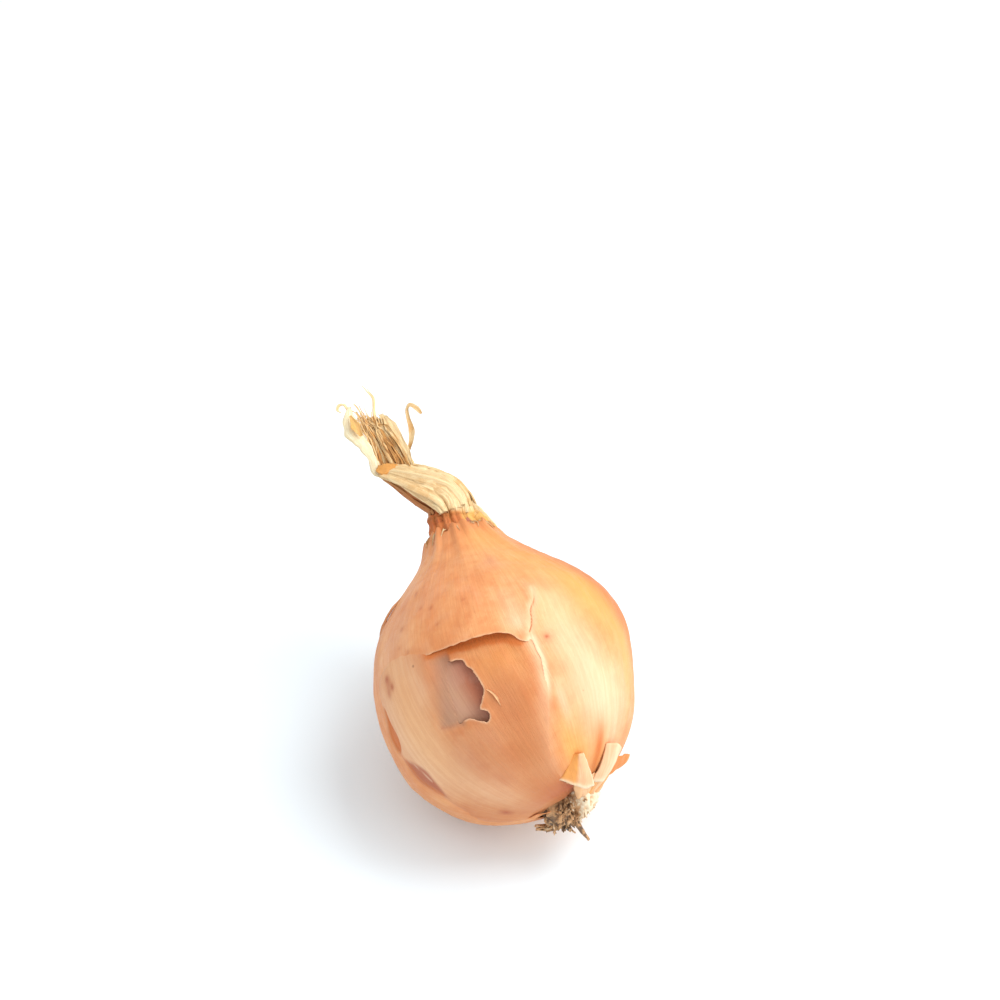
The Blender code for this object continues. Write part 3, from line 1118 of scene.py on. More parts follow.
    def swelling_nodes(self, bench: Bench, along: Any, turn: Any) -> Any:
        """Adds the soft swelling under the hole, 0 to 1."""
        off = bench.minus(turn, math.radians(self.swell_at[1]))
        turned = bench.sum("WRAP", off, math.pi, -math.pi)
        wide = bench.sum("DIVIDE", turned, math.radians(self.swell_reach[1]))
        long = bench.sum("DIVIDE", bench.minus(along, self.swell_at[0]), self.swell_reach[0])
        total = bench.ramp(wide, wide, bench.times(long, long))
        return bench.sum("EXPONENT", bench.times(total, -1.0))

    def build(self, effects: Effects) -> None:
        """Builds and dresses the flesh."""
        piece = grown("flesh_bulb", self.tree(), FleshFinish().made(effects), {})
        settle(piece, Slot.FLESH, "bulb")


class StrandTree:
    """Fine strands that follow guide lines: fanned out, waved, cut to uneven lengths and tapered."""

    def __init__(self) -> None:
        """Builds the tree once."""
        takes = {
            "Guides": "NodeSocketGeometry", "Finish": "NodeSocketMaterial", "Count": 12, "Spread": 1.0,
            "Wave": 0.4, "Thick": 0.1, "Shortest": 0.6, "Taper": 0.6, "Tone": 0.4, "Tone Range": 0.5,
            "Tip Tone": 0.0, "Seed": 1,
        }
        gives = {"Mesh": "NodeSocketGeometry"}
        bench, inward, outward = new_group("strands", "GeometryNodeTree", takes, gives)
        given = inward.outputs
        curves = bench.put("GeometryNodeMeshToCurve", Mesh=given["Guides"]).outputs[0]
        even = bench.put("GeometryNodeResampleCurve", Curve=curves, Count=16).outputs[0]
        by_line = {"domain": "SPLINE"}
        many = bench.put("GeometryNodeDuplicateElements", by_line, Geometry=even, Amount=given["Count"])
        cut = bench.put("GeometryNodeTrimCurve", {"mode": "FACTOR"}, Curve=many.outputs[0])
        bench.feed(cut.inputs[3], self.lot(bench, given["Seed"], 3, given["Shortest"], 1.0, spline=True))
        share = bench.put("GeometryNodeSplineParameter").outputs["Factor"]
        apart = bench.put("FunctionNodeRandomValue", {"data_type": "FLOAT_VECTOR"}, Seed=given["Seed"])
        bench.feed(apart.inputs[0], (-1.0, -1.0, -1.0))
        bench.feed(apart.inputs["ID"], self.strand_number(bench))
        fan = bench.times(given["Spread"], bench.ramp(share, 0.6, 0.4))
        shift = bench.scaled(apart.outputs[0], bench.times(fan, MM))
        where = bench.put("GeometryNodeInputPosition").outputs[0]
        far = bench.vector("ADD", where, bench.scaled(apart.outputs[0], 0.9))
        waving = bench.put("ShaderNodeTexNoise", Vector=far, Scale=330.0, Detail=2.0).outputs["Color"]
        sway = bench.vector("SUBTRACT", waving, (0.5, 0.5, 0.5))
        wave = bench.times(given["Wave"], 2 * MM)
        reach = bench.times(wave, bench.ramp(share, 0.8, 0.2))
        offset = bench.vector("ADD", shift, bench.scaled(sway, reach))
        moved = bench.put("GeometryNodeSetPosition", Geometry=cut.outputs[0], Offset=offset).outputs[0]
        lot = self.lot(bench, given["Seed"], 7, 0.0, 1.0, spline=False)
        spread = bench.ramp(bench.minus(lot, 0.5), given["Tone Range"], given["Tone"])
        toned = stored(bench, moved, "tone", bench.ramp(share, given["Tip Tone"], spread))
        thinned = bench.times(bench.times(share, share), given["Taper"])
        lean = bench.minus(1.0, thinned)
        fat = self.lot(bench, given["Seed"], 11, 0.0, 1.0, spline=False)
        girth = bench.times(lean, bench.ramp(fat, 0.8, 0.6))
        size = bench.times(girth, bench.times(given["Thick"], MM))
        ring = bench.put("GeometryNodeCurvePrimitiveCircle", Resolution=6, Radius=1.0).outputs[0]
        shaped = {"Profile_Curve": ring, "Scale": size, "Fill_Caps": True}
        tubes = bench.put("GeometryNodeCurveToMesh", Curve=toned, **shaped)
        ended(bench, tubes.outputs[0], given["Finish"], outward)
        self.tree = bench.tree

    @staticmethod
    def strand_number(bench: Bench) -> Any:
        """Reads which strand a point is on."""
        return bench.put("GeometryNodeCurveOfPoint").outputs["Curve Index"]

    @classmethod
    def lot(cls, bench: Bench, seed: Any, extra: int, low: Any, high: Any, spline: bool) -> Any:
        """Draws one number for each strand.

        Args:
            bench: The tree's bench.
            seed: The tree's seed.
            extra: Keeps this draw apart from the others.
            low: The least that is drawn.
            high: The most that is drawn.
            spline: True where the number is read on whole strands.

        Returns:
            The number.
        """
        own_seed = bench.sum("ADD", seed, float(extra))
        node = bench.put("FunctionNodeRandomValue", {"data_type": "FLOAT"}, Seed=own_seed)
        bench.feed(node.inputs[2], low)
        bench.feed(node.inputs[3], high)
        number = bench.put("GeometryNodeInputIndex").outputs[0] if spline else cls.strand_number(bench)
        bench.feed(node.inputs["ID"], number)
        return node.outputs[1]

    def grow(
        self, name: str, lines: Sequence[np.ndarray], material: bpy.types.Material, **values: float | int,
    ) -> bpy.types.Object:
        """Grows strands along some lines.

        Args:
            name: The piece's name.
            lines: The guide lines' points.
            material: The strands' finish.
            **values: The tree's inputs, by name with _ for a space.

        Returns:
            The new piece.
        """
        points = np.vstack(lines) * MM
        edges = []
        start = 0
        for line in lines:
            edges += [(start + number, start + number + 1) for number in range(len(line) - 1)]
            start += len(line)
        mesh = bpy.data.meshes.new(f"{name}.guides")
        mesh.from_pydata(points.tolist(), edges, [])
        named = {key.replace("_", " "): value for key, value in values.items()}
        return grown(name, self.tree, material, named, mesh)


# ---------------------------------------------------------------- the skins


TEAR = Track(
    (
        (5.3, -44.5), (4.95, -38), (4.6, -28.5), (4.35, -21), (4.15, -15.2), (3.9, -12), (3.35, -7.8),
        (2.8, -6.0), (1.85, -4.2), (1.1, -1.8),
    )
)
RIDGE = Track(
    (
        (1.1, 0.2), (-2.5, -0.8), (-5.5, -3.0), (-8.2, -5.5), (-9.9, -7.5), (-11.8, -10.8), (-13.7, -14.3),
        (-15.6, -17.3), (-17.3, -18.6), (-18.6, -17.5), (-19.7, -12.0), (-20.3, -4.0),
    )
)
SLIT = Track(((-4.9, -44), (-4.7, -48), (-4.2, -52.5)))
FOLD = Track(
    (
        (4.7, -80), (2.8, -80.8), (1.1, -83), (-0.4, -86), (-1.9, -86.8), (-3.6, -84.2), (-6.0, -85.2),
        (-7.7, -86), (-9.4, -84.4), (-11.5, -82.8),
    )
)
FLAP = Track(((-11.5, -82.8), (-14.6, -86.5), (-16.7, -97), (-19, -99)))
BASE = Track(((-20.3, -4), (-20.7, -20), (-20.7, -45), (-20.6, -70), (-20.2, -90), (-19, -99), (-16.7, -100)))
FLUSH = Track(((5.3, -44.5), (6.6, -54), (7.2, -66), (6.2, -76), (4.7, -80)))
CRESCENT = Track(
    (
        (2.8, -80.5), (1.1, -83), (-0.4, -86.4), (-1.9, -87.2), (-3.2, -84.5), (-2.5, -80.2), (-1.4, -78.8),
        (0.2, -79.2),
    ),
    closed=True,
)
WEDGE = Track(
    (
        (-4.4, -84.4), (-6.0, -85.6), (-7.7, -86.2), (-9.4, -84.6), (-11.7, -82.8), (-11.4, -80.8),
        (-9.6, -77.5), (-7.6, -76), (-6.3, -77.5), (-5.0, -81),
    ),
    closed=True,
)
GLINT = Track(((-4.8, -81.8), (-6.9, -80.4), (-9.0, -79.8)))
WINDOW = Track(
    TEAR.stops
    + RIDGE.stops
    + BASE.stops[1:5]
    + FLAP.stops[::-1]
    + FOLD.stops[-2::-1]
    + FLUSH.stops[-2:0:-1],
    closed=True,
    steps=4,
)
CRACK = Track(((2.6, 1.0), (3.4, 2.6), (4.5, 4.0), (6.1, 5.2), (7.8, 8.5), (9.7, 10)))
HOLE = Track(
    (
        (3.2, -36.0), (2.9, -33.5), (2.7, -31.0), (2.2, -28.8), (1.2, -28.6), (0.6, -27.2), (-1.0, -26.6),
        (-2.4, -26.8), (-3.4, -28.4), (-4.4, -31.4), (-4.9, -32.6), (-5.6, -30.6), (-6.6, -30.9),
        (-7.0, -33.2), (-6.3, -35.4), (-5.3, -38.6), (-5.1, -42.0), (-4.9, -44.5), (-3.6, -43.0),
        (-0.5, -40.5), (2.0, -38.0),
    ),
    closed=True, steps=3,
)


def seam(points: np.ndarray) -> np.ndarray:
    """Gives how near each point is to where one skin runs flush into the other, as 0 to 1."""
    return swell(np.minimum.reduce([line.gap(points) for line in (RIDGE, BASE, FLUSH, FOLD, FLAP)]), 0.9)


def sunk(along: np.ndarray, turn: np.ndarray) -> np.ndarray:
    """Gives where the papery skin's edge is sunk into the tight skin, so that no edge shows, as 0 to 1."""
    return np.maximum(ease(-4, -7, along), ease(-25, -35, turn))


def creased(sheet: Sheet, points: np.ndarray, values: dict[str, np.ndarray]) -> np.ndarray:
    """Paints the fold at the left, where the papery skin folds over the tight one: painted orange-brown
    shadow in the crescent and along the crease, painted mauve-brown shade in the wedge and a painted
    highlight along the glint, and sinks the crescent and wedge a little.

    Args:
        sheet: The skin's places.
        points: The same places as points.
        values: The skin's stains and painted light, which gain the fold's painted shade and highlight.

    Returns:
        How far the creases sink below the skin.
    """
    along, turn = sheet.along, sheet.turn
    crescent = ease(0.25, -0.45, CRESCENT.outside(along, turn, points))
    wedge = ease(0.7, -1.0, WEDGE.outside(along, turn, points))
    crease = swell(FOLD.gap(points), 0.22) * ease(-1.0, -2.5, along) * ease(-13, -11, along)
    # Painted shade in the crescent, the crease and the wedge, and a painted highlight along the glint.
    stains = {
        "shade": np.maximum(0.95 * crescent, 0.75 * crease), "mauve": 0.8 * wedge, "rust": 0.72 * wedge,
        "edge": 0.40 * swell(GLINT.gap(points), 0.13),
    }
    for name, strength in stains.items():
        values[name] = np.maximum(values[name], strength)
    return 0.38 * np.maximum(crescent, wedge)


def skin_pile(
    sheet: Sheet, height: np.ndarray, thick: np.ndarray | float, values: dict[str, np.ndarray],
) -> Pile:
    """Makes a closed skin on a sheet.

    Args:
        sheet: The skin's places.
        height: How far its outside stands off the bulb.
        thick: Its thickness.
        values: Its stains and painted light.

    Returns:
        The pile that holds it.
    """
    along, turn = sheet.along, sheet.turn
    top, under = SHAPE.raised(along, turn, height), SHAPE.raised(along, turn, height - thick)
    solid, faces = closed_shell(top, under, sheet.faces)
    lay = np.stack([np.cos(np.radians(turn)), np.sin(np.radians(turn)), along], 1)
    doubled = {name: np.tile(value, 2) for name, value in values.items()}
    pile = Pile()
    pile.add(solid, faces, lay=np.tile(lay, (2, 1)), **doubled)
    return pile


def skin_places(root: float, neck: float, coarse: float = 1.0) -> Sheet:
    """Makes a grid that is fine where the skin is torn.

    Args:
        root: Where the grid starts, along the bulb.
        neck: Where it ends.
        coarse: Widens the plain parts' steps.

    Returns:
        The grid.
    """
    rows = [(root, 0.5 * coarse), (-12, 0.25), (6.6, 0.3 * coarse), (14, 0.42 * coarse), (neck, 1)]
    columns = [(-104, 1.0), (-54, 0.62), (-24, 0.8), (-8, 0.5), (12, 1.1 * coarse), (66, 2.5 * coarse)]
    columns.append((256, 1))
    lines = []
    for stops in (rows, columns):
        spans = zip(stops[:-1], stops[1:])
        parts = []
        for (first, step), (last, _) in spans:
            parts.append(np.linspace(first, last, max(2, round((last - first) / step)), endpoint=False))
        lines.append(np.concatenate(parts))
    return Sheet.rings(np.append(lines[0], neck), lines[1])


TIGHT_STAINS_AND_SHADE: dict[str, tuple[Spot, ...]] = {
    "amber": spots(
        (0, -16, 4, 12, 0.40), (-19, -20, 2, 30, 0.20), (4, -62, 6, 9, 0.35), (-4, -66, 8, 12, 0.42),
        (4.6, -69.8, 1.5, 3.6, 0.6),
    ),
    "pale": spots(
        (6, -60, 4, 12, 0.30), (-17, -55, 3, 14, 0.25), (-1, -76, 8, 13, 0.45), (-12, -62, 6, 12, 0.30),
        (-16, -26, 4, 10, 0.10), (-3, -60, 6, 7, 0.25), (1.5, -52, 4, 6, 0.30), (-8, -74, 5, 8, 0.25),
    ),
    # The brown spot at along -18.8, turn -8 is painted shadow under the wide flap.
    "brown": spots(
        (-7, -19, 7, 10, 0.78), (-14, -24, 5, 12, 0.72), (-12, -42, 5, 9, 0.30), (-3, -12, 4, 7, 0.22),
        (-18.5, -44, 2, 30, 0.35), (-18.8, -8, 2.0, 12, 0.5), (-17, -75, 3, 14, 0.20),
    ),
    "mauve": spots(
        (-6, -22, 7, 10, 0.16), (-9.5, -50, 4, 9, 0.28), (-9, -36, 3, 6, 0.22), (-14.5, -41, 3, 7, 0.18),
    ),
    # The two rust spots at along -20 are painted shadow round the root plate and under the wide flap.
    "rust": spots(
        (5.4, -70.5, 0.5, 1.6, 0.85), (4.6, -69.8, 1.3, 3.4, 0.65), (3.9, -67.6, 0.5, 1.2, 0.85),
        (3.4, -71.5, 0.7, 1.5, 0.55), (-18.3, -75, 0.3, 4.0, 0.95), (-20, -30, 1.2, 40, 0.45),
        (-20.0, -8, 1.0, 16, 1.0), (-19.3, -32, 1.8, 12, 0.28),
    ),
}


@dataclass(frozen=True)
class TightSkin:
    """The orange-brown skin that clings to the flesh, with the ragged hole."""

    thick: float = 0.10
    hidden: float = 0.62
    flush: float = 0.05

    def height(self, along: np.ndarray, turn: np.ndarray, points: np.ndarray) -> np.ndarray:
        """Gives how far the skin lies below the papery skin's own level (below 0)."""
        outside = WINDOW.outside(along, turn, points)
        rightward = ease(-47, -24, turn)
        near_tear = swell(TEAR.gap(points), 4.0) * (1 - 0.8 * swell(RIDGE.gap(points), 2.2))
        open_depth = self.flush + 0.75 * rightward * near_tear * ease(-3, -11, turn)
        covered = ease(0.15, 1.5, outside)
        dent = 0.05 * Ripple(5, 4.0, 14.0)(points)
        hole = HOLE.outside(along, turn, points)
        lip = 0.10 * swell(hole, 0.7) * ease(-40, -34, turn)
        inside = lip + 0.6 * dent - open_depth
        joined = seam(points)
        inside = inside * (1 - joined) - 0.03 * joined * (1 - sunk(along, turn))
        height = inside * (1 - covered) - self.hidden * covered
        clinging = self.clinging(along, turn, hole)
        slit = 0.10 * swell(SLIT.gap(points), 0.25)
        return height * (1 - clinging) + (Flesh().level(along, turn) + 0.02) * clinging - slit

    @staticmethod
    def clinging(along: np.ndarray, turn: np.ndarray, hole: np.ndarray) -> np.ndarray:
        """Gives where the skin has worn away to the flesh, beside the hole, as 0 to 1."""
        last = np.interp(along, (-5.0, -4.0, -2.2, 0.1, 2.1, 4.3), (-52.5, -51.0, -47.0, -43.5, -41.0, -39.5))
        first = np.interp(along, (-5.2, 3.2), (-42.0, -34.5))
        beside = ease(-7.0, 3.0, turn - last) * ease(1.2, -1.2, turn - first)
        beside = beside * ease(5.0, 3.6, along) * ease(-5.9, -4.3, along + 0.10 * (turn + 46))
        return beside * ease(5.0, 3.0, hole)

    def build(self, effects: Effects) -> None:
        """Builds and dresses the tight skin."""
        sheet = skin_places(-20.9, 28.2, 1.7)
        points = SHAPE.raised(sheet.along, sheet.turn, 0.0)
        ragged = 0.10 * Ripple(11, 0.5, 1.8)(points)
        keep = HOLE.outside(sheet.along, sheet.turn, points) + ragged
        sheet = sheet.cut(keep)
        along, turn = sheet.along, sheet.turn
        points = SHAPE.raised(along, turn, 0.0)
        height = self.height(along, turn, points)
        hole = HOLE.outside(along, turn, points)
        values = {name: spotted(stains, along, turn) for name, stains in TIGHT_STAINS_AND_SHADE.items()}
        # Painted shadow: an orange-brown band under the tear's lifted lip, widest where the lip stands
        # highest.
        band = np.interp(turn, (-47, -41, -24, -12, -6, -2), (0.9, 1.1, 1.5, 1.7, 1.2, 0.3))
        tear = TEAR.gap(points) + 0.15 * Ripple(17, 1.0, 4.0)(points)
        values["shade"] = 0.93 * ease(1.0, 0.55, tear / band) * ease(-47, -42, turn) * ease(-2, -5, turn)
        lower = ease(-6, -10, along)
        beside = (0.45 - 0.15 * lower) * swell(RIDGE.gap(points), 1.1 + 1.3 * lower) * ease(-19, -16.5, along)
        values["pale"] = overlaid(values["pale"], beside)
        values["bare"] = self.clinging(along, turn, hole)
        values["edge"] = 0.36 * swell(hole, 0.17) * ease(0.3, 0.0, values["bare"])
        values["rust"] = np.maximum(values["rust"], 0.5 * swell(SLIT.gap(points), 0.22))
        height = height - creased(sheet, points, values)
        pile = skin_pile(sheet, height, self.thick * (1 - 0.8 * values["bare"]), values)
        finish = SkinFinish(
            "shallot_tight_skin", tan=(0.64, 0.245, 0.088), rosy=(0.58, 0.18, 0.065),
            honey=(0.77, 0.36, 0.15), cloud=(0.74, 0.37, 0.19), streaks=0.45, veins=0.17, sheen=0.44,
        )
        settle(pile.made("tight_skin", finish.made(effects)), Slot.INNER, "inner_skin")


PAPERY_STAINS_AND_LIGHT: dict[str, tuple[Spot, ...]] = {
    # Most amber spots on the right shoulder are the skin's own orange raised into a painted glow of light
    # through the thin rim; the one at along -18, turn 20 is the deeper orange of the hollow between the
    # flaps.
    "amber": spots(
        (17, 30, 5, 26, 0.55), (10, 42, 7, 17, 0.95), (3, 54, 8, 14, 0.9), (-6, 52, 6, 10, 0.5),
        (-18.0, 20, 2.2, 6.5, 0.97), (-15, -2, 3, 5, 0.5), (6, 14, 4, 8, 0.25), (-17, 2, 3, 10, 0.65),
        (23, 10, 3, 20, 0.45), (4, 120, 18, 40, 0.25),
    ),
    # The pale spots on the right flank are partly paler skin and partly a painted highlight; the one at along
    # 4.6, turn -1.5 is a painted highlight on the lifted torn corner, and the one at along -9.4 a painted
    # highlight on the ridge.
    "pale": spots(
        (5, 15, 6, 9, 0.35), (-4, 17, 7, 11, 0.50), (-10, 20, 5, 12, 0.60), (-13, 32, 5, 14, 0.5),
        (4.6, -1.5, 1.8, 4.2, 0.45), (8, -2, 3, 5, 0.25), (9, -68, 4, 16, 0.22), (-9.4, 0.6, 3, 2.5, 0.5),
    ),
    # The brown spots on the right shoulder, turn 48 to 66, are painted shade and painted orange reflection at
    # the rim; the one at along -18.9 is painted shade in the hollow between the flaps.
    "brown": spots(
        (20, -30, 5, 25, 0.10), (12, -84, 5, 7, 0.30), (-12, -110, 8, 20, 0.30), (12, 54, 7, 13, 0.92),
        (5, 60, 7, 11, 0.88), (-2, 66, 6, 9, 0.60), (18, 48, 4, 20, 0.50), (15.5, -90, 4, 9, 0.60),
        (8, -30, 3, 16, 0.14), (-8.6, 18, 5, 8, 0.16), (-18.9, 17.5, 1.3, 4, 0.5),
    ),
    # Painted shade in the hollow between the wide and narrow flaps, and at the right shoulder's rim, where it
    # is partly painted reflection.
    "shade": spots(
        (-17.2, 20.0, 2.5, 4.8, 1.0), (-19.0, 17.5, 0.9, 3.0, 0.6), (13, 62, 7, 9, 0.45),
        (9.5, 58, 4, 7, 0.55), (18, 56, 4, 14, 0.35), (5, 68, 8, 8, 0.30),
    ),
    "mauve": spots((17.7, 1.5, 1.4, 5, 0.35), (11, -60, 4, 8, 0.20), (14, -45, 3, 8, 0.16)),
    # The rust spot at along -20.4 is painted shadow under the wide flap; the other two make a red spot.
    "rust": spots((0.9, 6.6, 0.32, 0.9, 0.95), (0.9, 6.8, 1.1, 2.8, 0.30), (-20.4, -6, 0.8, 14, 0.8)),
}
MARKS = spots(
    (16.4, -51.5, 0.40, 1.4, 0.85), (12.4, -38, 0.32, 1.1, 0.85), (13.1, -44.5, 0.32, 1.1, 0.8),
    (11.2, -56.5, 0.40, 1.3, 0.8), (9.0, -35, 0.30, 1.0, 0.7), (11.4, -21, 0.30, 1.0, 0.7),
    (7.0, -52.5, 0.30, 1.0, 0.7), (14.6, -30, 0.26, 0.9, 0.6), (8.4, -58, 0.26, 0.9, 0.6),
)
LOOSE = spots((9, 52, 9, 18, 1.0), (15.5, -86, 4.5, 10, 1.0))


@dataclass(frozen=True)
class PaperySkin:
    """The loose copper skin: torn at the front, lifted at its edges, pleated at the neck."""

    thick: float = 0.11
    lift: float = 0.80
    deepest: float = -0.45

    def height(self, along: np.ndarray, turn: np.ndarray, points: np.ndarray) -> np.ndarray:
        """Gives how far the skin stands off its plain level."""
        tear, ridge = TEAR.gap(points), RIDGE.gap(points)
        lip = self.lift * ease(-44, -25, turn) * ease(-3, -12, turn) * swell(tear, 2.6)
        corner = 0.22 * swell(CRACK.gap(points), 2.2)
        upper = ease(-11, -6, along)
        roll = 0.16 * swell(ridge - 1.3, 0.8) * upper
        bank = 0.10 * swell(CRACK.gap(points) - 0.7, 0.6) - 0.09 * swell(CRACK.gap(points), 0.13)
        pleats = np.radians(turn)
        wave = np.cos(9 * pleats + 0.9) + 0.8 * np.cos(14 * pleats + 2.0 + 0.1 * along)
        wave = wave + 0.7 * np.cos(23 * pleats)
        gathered = 0.16 * ease(17, 28.5, along) * wave
        uneven = 0.12 * Ripple(3, 5.0, 20.0)(points) + 0.040 * Ripple(4, 1.6, 4.0)(points)
        ribs = np.stack([np.cos(pleats), np.sin(pleats), along * 0.006], 1)
        ribbed = 0.030 * Ripple(8, 0.06, 0.30)(ribs)
        hip = 0.35 * ease(23.5, 27.0, along)
        loose = 0.5 * spotted(LOOSE, along, turn)
        joined = seam(points)
        height = loose + lip + corner + roll + bank + gathered + uneven + ribbed + hip
        return height * (1 - joined) + (0.05 - 0.10 * sunk(along, turn)) * joined

    def build(self, effects: Effects) -> None:
        """Builds and dresses the papery skin."""
        sheet = skin_places(-20.95, 28.6)
        points = SHAPE.raised(sheet.along, sheet.turn, 0.0)
        jag = Ripple(21, 0.6, 2.4)(points)
        window = WINDOW.outside(sheet.along, sheet.turn, points) + 0.06 * jag
        turned = np.radians(sheet.turn)
        neck_rim = 27.3 + 0.45 * np.cos(7 * turned + 1) + 0.35 * np.cos(17 * turned) + 0.3 * jag - sheet.along
        root_rim = sheet.along + 20.75 + 0.12 * np.cos(9 * turned) + 0.15 * jag
        keep = np.minimum(window, np.minimum(neck_rim, root_rim))
        sheet = sheet.cut(keep)
        along, turn = sheet.along, sheet.turn
        points = SHAPE.raised(along, turn, 0.0)
        height = self.height(along, turn, points)
        values = {name: spotted(stains, along, turn) for name, stains in PAPERY_STAINS_AND_LIGHT.items()}
        # Painted highlight: a pale band along the raised ridge and round the crack.
        ridge_highlight = 0.75 * swell(RIDGE.gap(points) - 0.35, 0.55) + 0.35 * swell(CRACK.gap(points), 0.7)
        values["pale"] = overlaid(values["pale"], np.clip(ridge_highlight, 0, 1))
        values["rust"] = overlaid(values["rust"], 0.65 * spotted(MARKS, along, turn))
        lower = ease(-6, -10, along) * ease(-40, -30, turn)
        values["pale"] *= 1 - 0.8 * swell(RIDGE.gap(points), 1.6) * lower
        edge_gap = np.minimum(TEAR.gap(points), RIDGE.gap(points) + 3 * lower)
        values["edge"] = 0.22 * swell(edge_gap, 0.16)
        blend = 0.34 * swell(RIDGE.gap(points), 1.7) * ease(-6, -10, along)
        crack, dying = CRACK.gap(points), ease(9.5, 6, along)
        for over in (blend, 0.90 * swell(crack, 0.085) * dying, 0.35 * ease(24.5, 27.0, along)):
            values["brown"] = overlaid(values["brown"], over)
        values["rust"] = overlaid(values["rust"], 0.60 * swell(crack, 0.075) * dying)
        height = np.maximum(height - creased(sheet, points, values), self.deepest)
        pile = skin_pile(sheet, height, self.thick, values)
        finish = SkinFinish("shallot_papery_skin")
        settle(pile.made("papery_skin", finish.made(effects)), Slot.OUTER, "outer_skin")


def skin_line(*stops: Point) -> tuple[Point, ...]:
    """Turns (along, turn, height) stops into (side, rise, back) places."""
    known = np.array(stops, float)
    return tuple(map(tuple, SHAPE.measured(SHAPE.raised(known[:, 0], known[:, 1], known[:, 2]))))


@dataclass(frozen=True)
class Patch:
    """A torn flap of skin between a far edge and a near edge, each through (along, turn, height) stops."""

    far: tuple[Point, ...]
    near: tuple[Point, ...]
    bulge: float = 0.2
    thick: float = 0.12
    rows: int = 18
    columns: int = 24
    seed: int = 1

    def laid(self, pile: Pile, **values: tuple[float, float]) -> None:
        """Adds the flap to a pile.

        Args:
            pile: The pile it joins.
            **values: What its points carry, from its first side to its last.
        """
        over = np.linspace(0, 1, self.columns)
        edges = [resampled(over, flowing(stops, 10)) for stops in (self.far, self.near)]
        down = np.linspace(0, 1, self.rows)[:, None, None]
        places = edges[0][None] * (1 - down) + edges[1][None] * down
        ends = [SHAPE.raised(edge[:, 0], edge[:, 1], edge[:, 2]) for edge in edges]
        ways = [SHAPE.raised(edge[:, 0], edge[:, 1], edge[:, 2] + 1) - end for edge, end in zip(edges, ends)]
        flat = ends[0][None] * (1 - down) + ends[1][None] * down
        outward = unit(ways[0][None] * (1 - down) + ways[1][None] * down)
        raised = self.bulge * np.sin(down * math.pi) + 0.07 * Ripple(self.seed, 0.8, 3.0)(flat)[..., None]
        top = (flat + outward * raised).reshape(-1, 3)
        under = (flat + outward * (raised - self.thick)).reshape(-1, 3)
        points, solid = closed_shell(top, under, grid_faces(self.rows, self.columns, turned=True))
        beside = (1 - over)[None, :] * np.ones((self.rows, 1))
        above = (1 - np.linspace(0, 1, self.rows))[:, None] * np.ones((1, self.columns))
        rim = 0.8 * np.exp(-((np.minimum(beside * 2.2, above) / 0.08) ** 2)).ravel()
        turned = np.radians(places[..., 1].ravel())
        lay = np.stack([np.cos(turned), np.sin(turned), places[..., 0].ravel()], 1)
        across = np.tile(over, self.rows)
        held = {name: np.tile(np.interp(across, (0.32, 0.42), pair), 2) for name, pair in values.items()}
        pile.add(points, solid, lay=np.tile(lay, (2, 1)), edge=np.tile(rim, 2), **held)


# ---------------------------------------------------------------- the dry neck


